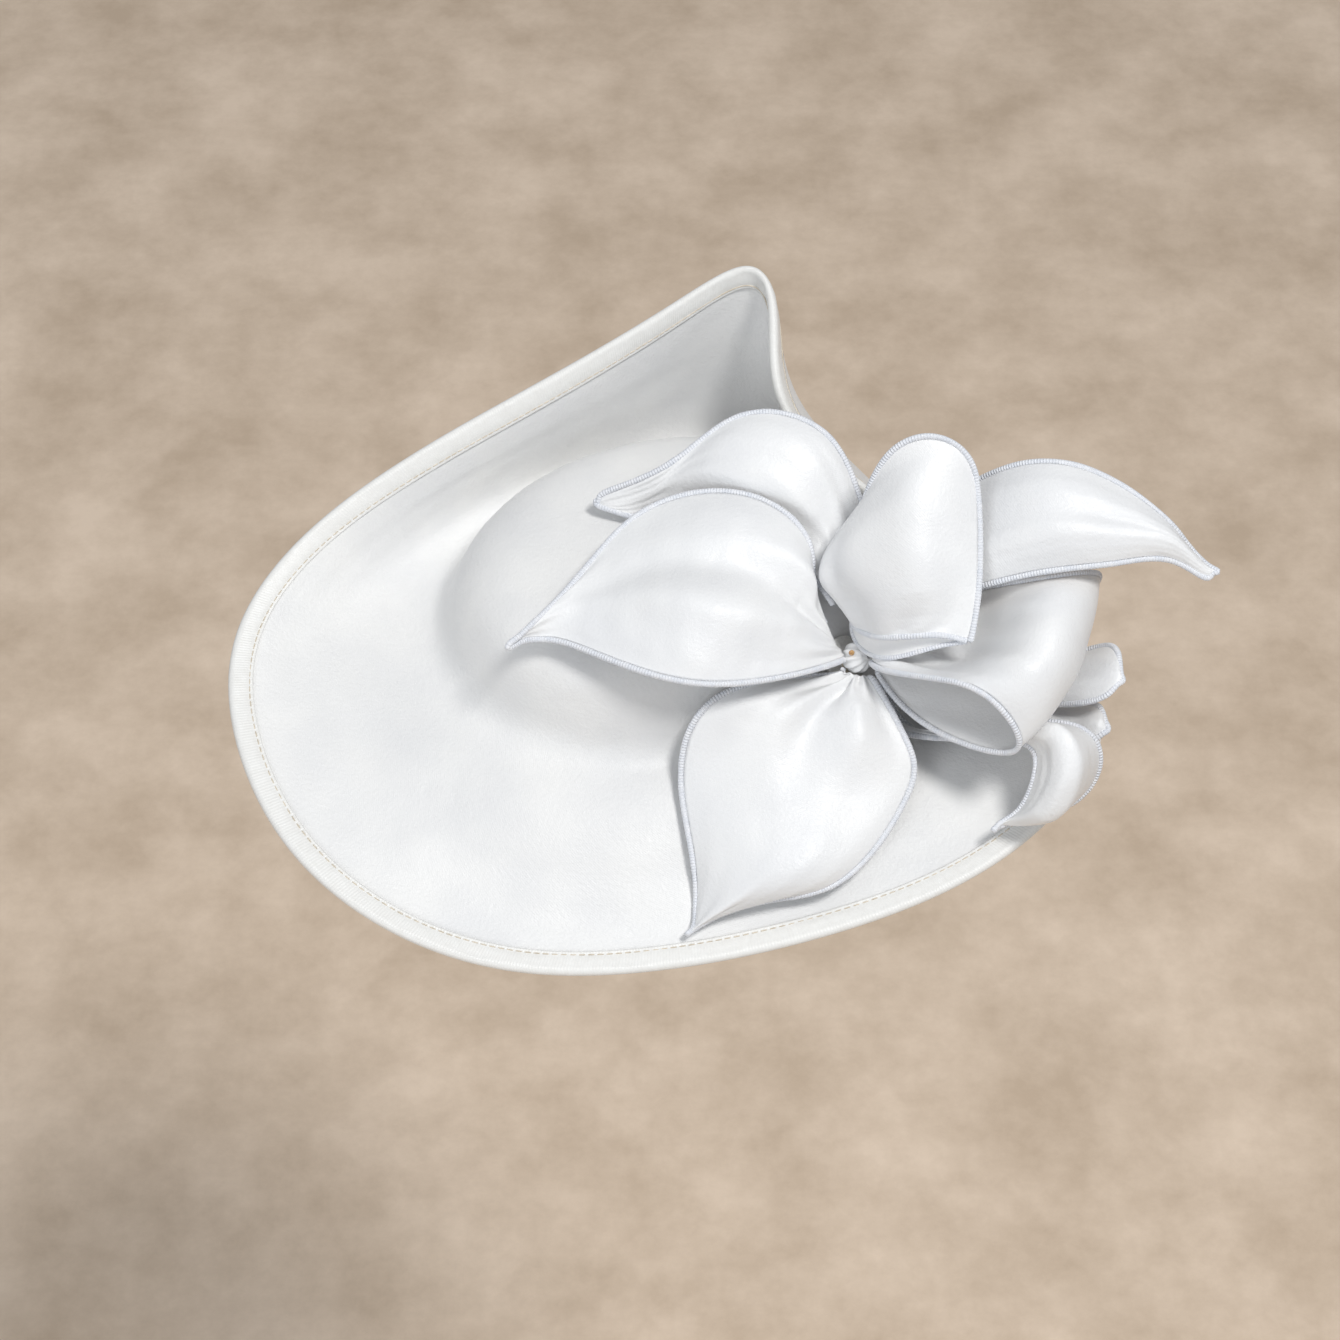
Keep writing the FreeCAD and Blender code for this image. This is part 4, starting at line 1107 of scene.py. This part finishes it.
for label, side in (("left", 1), ("right", -1)):
    body = f"{label}_arm"
    arm_end = 90 + side * (MIDDLE_HALF + GAP_ANGLE + ARM_ANGLE)
    half_sleeve = band_tube(f"band_satin_{label}", 90.0, arm_end, SLEEVE_INNER, SLEEVE_OUTER,
                            SLEEVE_HALF, 0.9 * MM, 0.12 * MM)
    half_sleeve.data.materials.append(BAND_SATIN)
    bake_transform(half_sleeve)
    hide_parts(*([f"band_sleeve_{label}_arm", "band_sleeve_middle"]
                               if label == "left" else [f"band_sleeve_{label}_arm"]))
    tip = band_tube(f"band_end_{label}", arm_end + side * 0.05, arm_end + side * CAP_ANGLE,
                    SLEEVE_INNER, SLEEVE_OUTER, SLEEVE_HALF, 1.2 * MM, 0.0, 5 * MM)
    put(tip, BAND_SATIN, body)
    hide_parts(f"band_tip_{label}")
    grip_start = 90 + side * (MIDDLE_HALF + GAP_ANGLE)
    grip = band_tube(f"velvet_grip_{label}", grip_start, arm_end, BAND_RADIUS,
                     BAND_RADIUS + 0.8 * MM, 3.5 * MM, 0.35 * MM, 0.0)
    put(grip, VELVET, body)
    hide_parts(f"band_grip_{label}_arm")
grip = band_tube("velvet_grip_middle", 90 - MIDDLE_HALF, 90 + MIDDLE_HALF, BAND_RADIUS,
                 BAND_RADIUS + 0.8 * MM, 3.5 * MM, 0.35 * MM, 0.0)
put(grip, VELVET, "headpiece")
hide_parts("band_grip_middle")

SADDLE_LOW, SADDLE_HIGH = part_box("band_saddle")


def felt_saddle():
    """Felt pad between the band and the closed underside: curved below, flat above."""
    x = np.linspace(SADDLE_LOW[0] + 0.3 * MM, SADDLE_HIGH[0] - 0.3 * MM, 60)
    below = np.sqrt((SLEEVE_OUTER + 0.12 * MM) ** 2 - x ** 2)
    top = SADDLE_HIGH[2]
    half = SADDLE_HIGH[1]
    round_edge = 0.35 * MM
    rings = []
    for xi, bi in zip(x, below):
        low_z, high_z = bi, top
        soft = min(round_edge, (high_z - low_z) / 3)
        rings.append([(xi, -half, low_z + soft), (xi, -half + soft, low_z),
                      (xi, 0.0, low_z), (xi, half - soft, low_z), (xi, half, low_z + soft),
                      (xi, half, high_z - soft), (xi, half - soft, high_z), (xi, 0.0, high_z),
                      (xi, -half + soft, high_z), (xi, -half, high_z - soft)])
    return capped("felt_saddle", rings)


saddle = felt_saddle()
put(saddle, FELT)
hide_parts("band_saddle")

for node, material in NODE_FINISHES.items():
    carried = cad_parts[node]
    carried.data.materials.clear()
    carried.data.materials.append(material)

# --------------------------------------------------------------------------- stage

FLOOR_DEPTH = 0.9
FLOOR_SIZE = 30
bpy.ops.object.select_all(action="DESELECT")
bpy.ops.mesh.primitive_plane_add(size=FLOOR_SIZE, location=(0, 0, -FLOOR_DEPTH))
floor = bpy.context.object
floor.name = "floor"
floor_material, floor_tree, floor_shader = finish_material("plaster_floor", (0.60, 0.47, 0.34),
                                                           0.9)
floor_place = coordinates(floor_tree, "Object", (1, 1, 1))
colour_range(floor_tree, floor_shader, noise(floor_tree, floor_place, 9, 8, 0.68),
             (0.72, 0.56, 0.41), (0.99, 0.80, 0.62), 0.34, 0.66)
relief(floor_tree, floor_shader, [(noise(floor_tree, floor_place, 40, 5), 0.002, 0.3)])
floor.data.materials.append(floor_material)
bpy.ops.object.select_all(action="DESELECT")

AIM = Vector((0.00078, -0.01736, CROWN_FOOT - 0.01456))
CAMERA_DISTANCE = 1.236


def lamp(name, direction, distance, size_m, power, colour):
    """Soft area light aimed at the headpiece from a direction."""
    data = bpy.data.lights.new(name, "AREA")
    data.shape = "DISK"
    data.size = size_m
    data.energy = power
    data.color = colour
    lamp_object = bpy.data.objects.new(name, data)
    bpy.context.scene.collection.objects.link(lamp_object)
    lamp_object.location = AIM + Vector(direction).normalized() * distance
    lamp_object.rotation_euler = Vector(direction).to_track_quat("Z", "Y").to_euler()
    return lamp_object


lamp("key", (0.32, -0.24, 0.88), 2.6, 0.60, 38, (1.0, 0.99, 0.975))
lamp("front_fill", (-0.45, -0.78, 0.38), 2.8, 1.5, 21, (0.95, 0.975, 1.0))
lamp("top_fill", (0.0, 0.2, 1.0), 3.0, 2.6, 6, (0.97, 0.985, 1.0))

world = bpy.data.worlds.new("studio")
world.use_nodes = True
world.node_tree.nodes["Background"].inputs["Color"].default_value = (0.90, 0.94, 1.0, 1)
world.node_tree.nodes["Background"].inputs["Strength"].default_value = 0.34
bpy.context.scene.world = world

camera_data = bpy.data.cameras.new("camera")
camera_data.lens = 85
camera_data.sensor_width = 36
camera_data.clip_end = 60
camera = bpy.data.objects.new("camera", camera_data)
bpy.context.scene.collection.objects.link(camera)
ELEVATION = math.radians(50)
BACK = Vector((0, -math.cos(ELEVATION), math.sin(ELEVATION)))
camera.location = AIM + BACK * CAMERA_DISTANCE
camera.rotation_euler = BACK.to_track_quat("Z", "Y").to_euler()
bpy.context.scene.camera = camera
bpy.context.scene.view_settings.view_transform = "Standard"
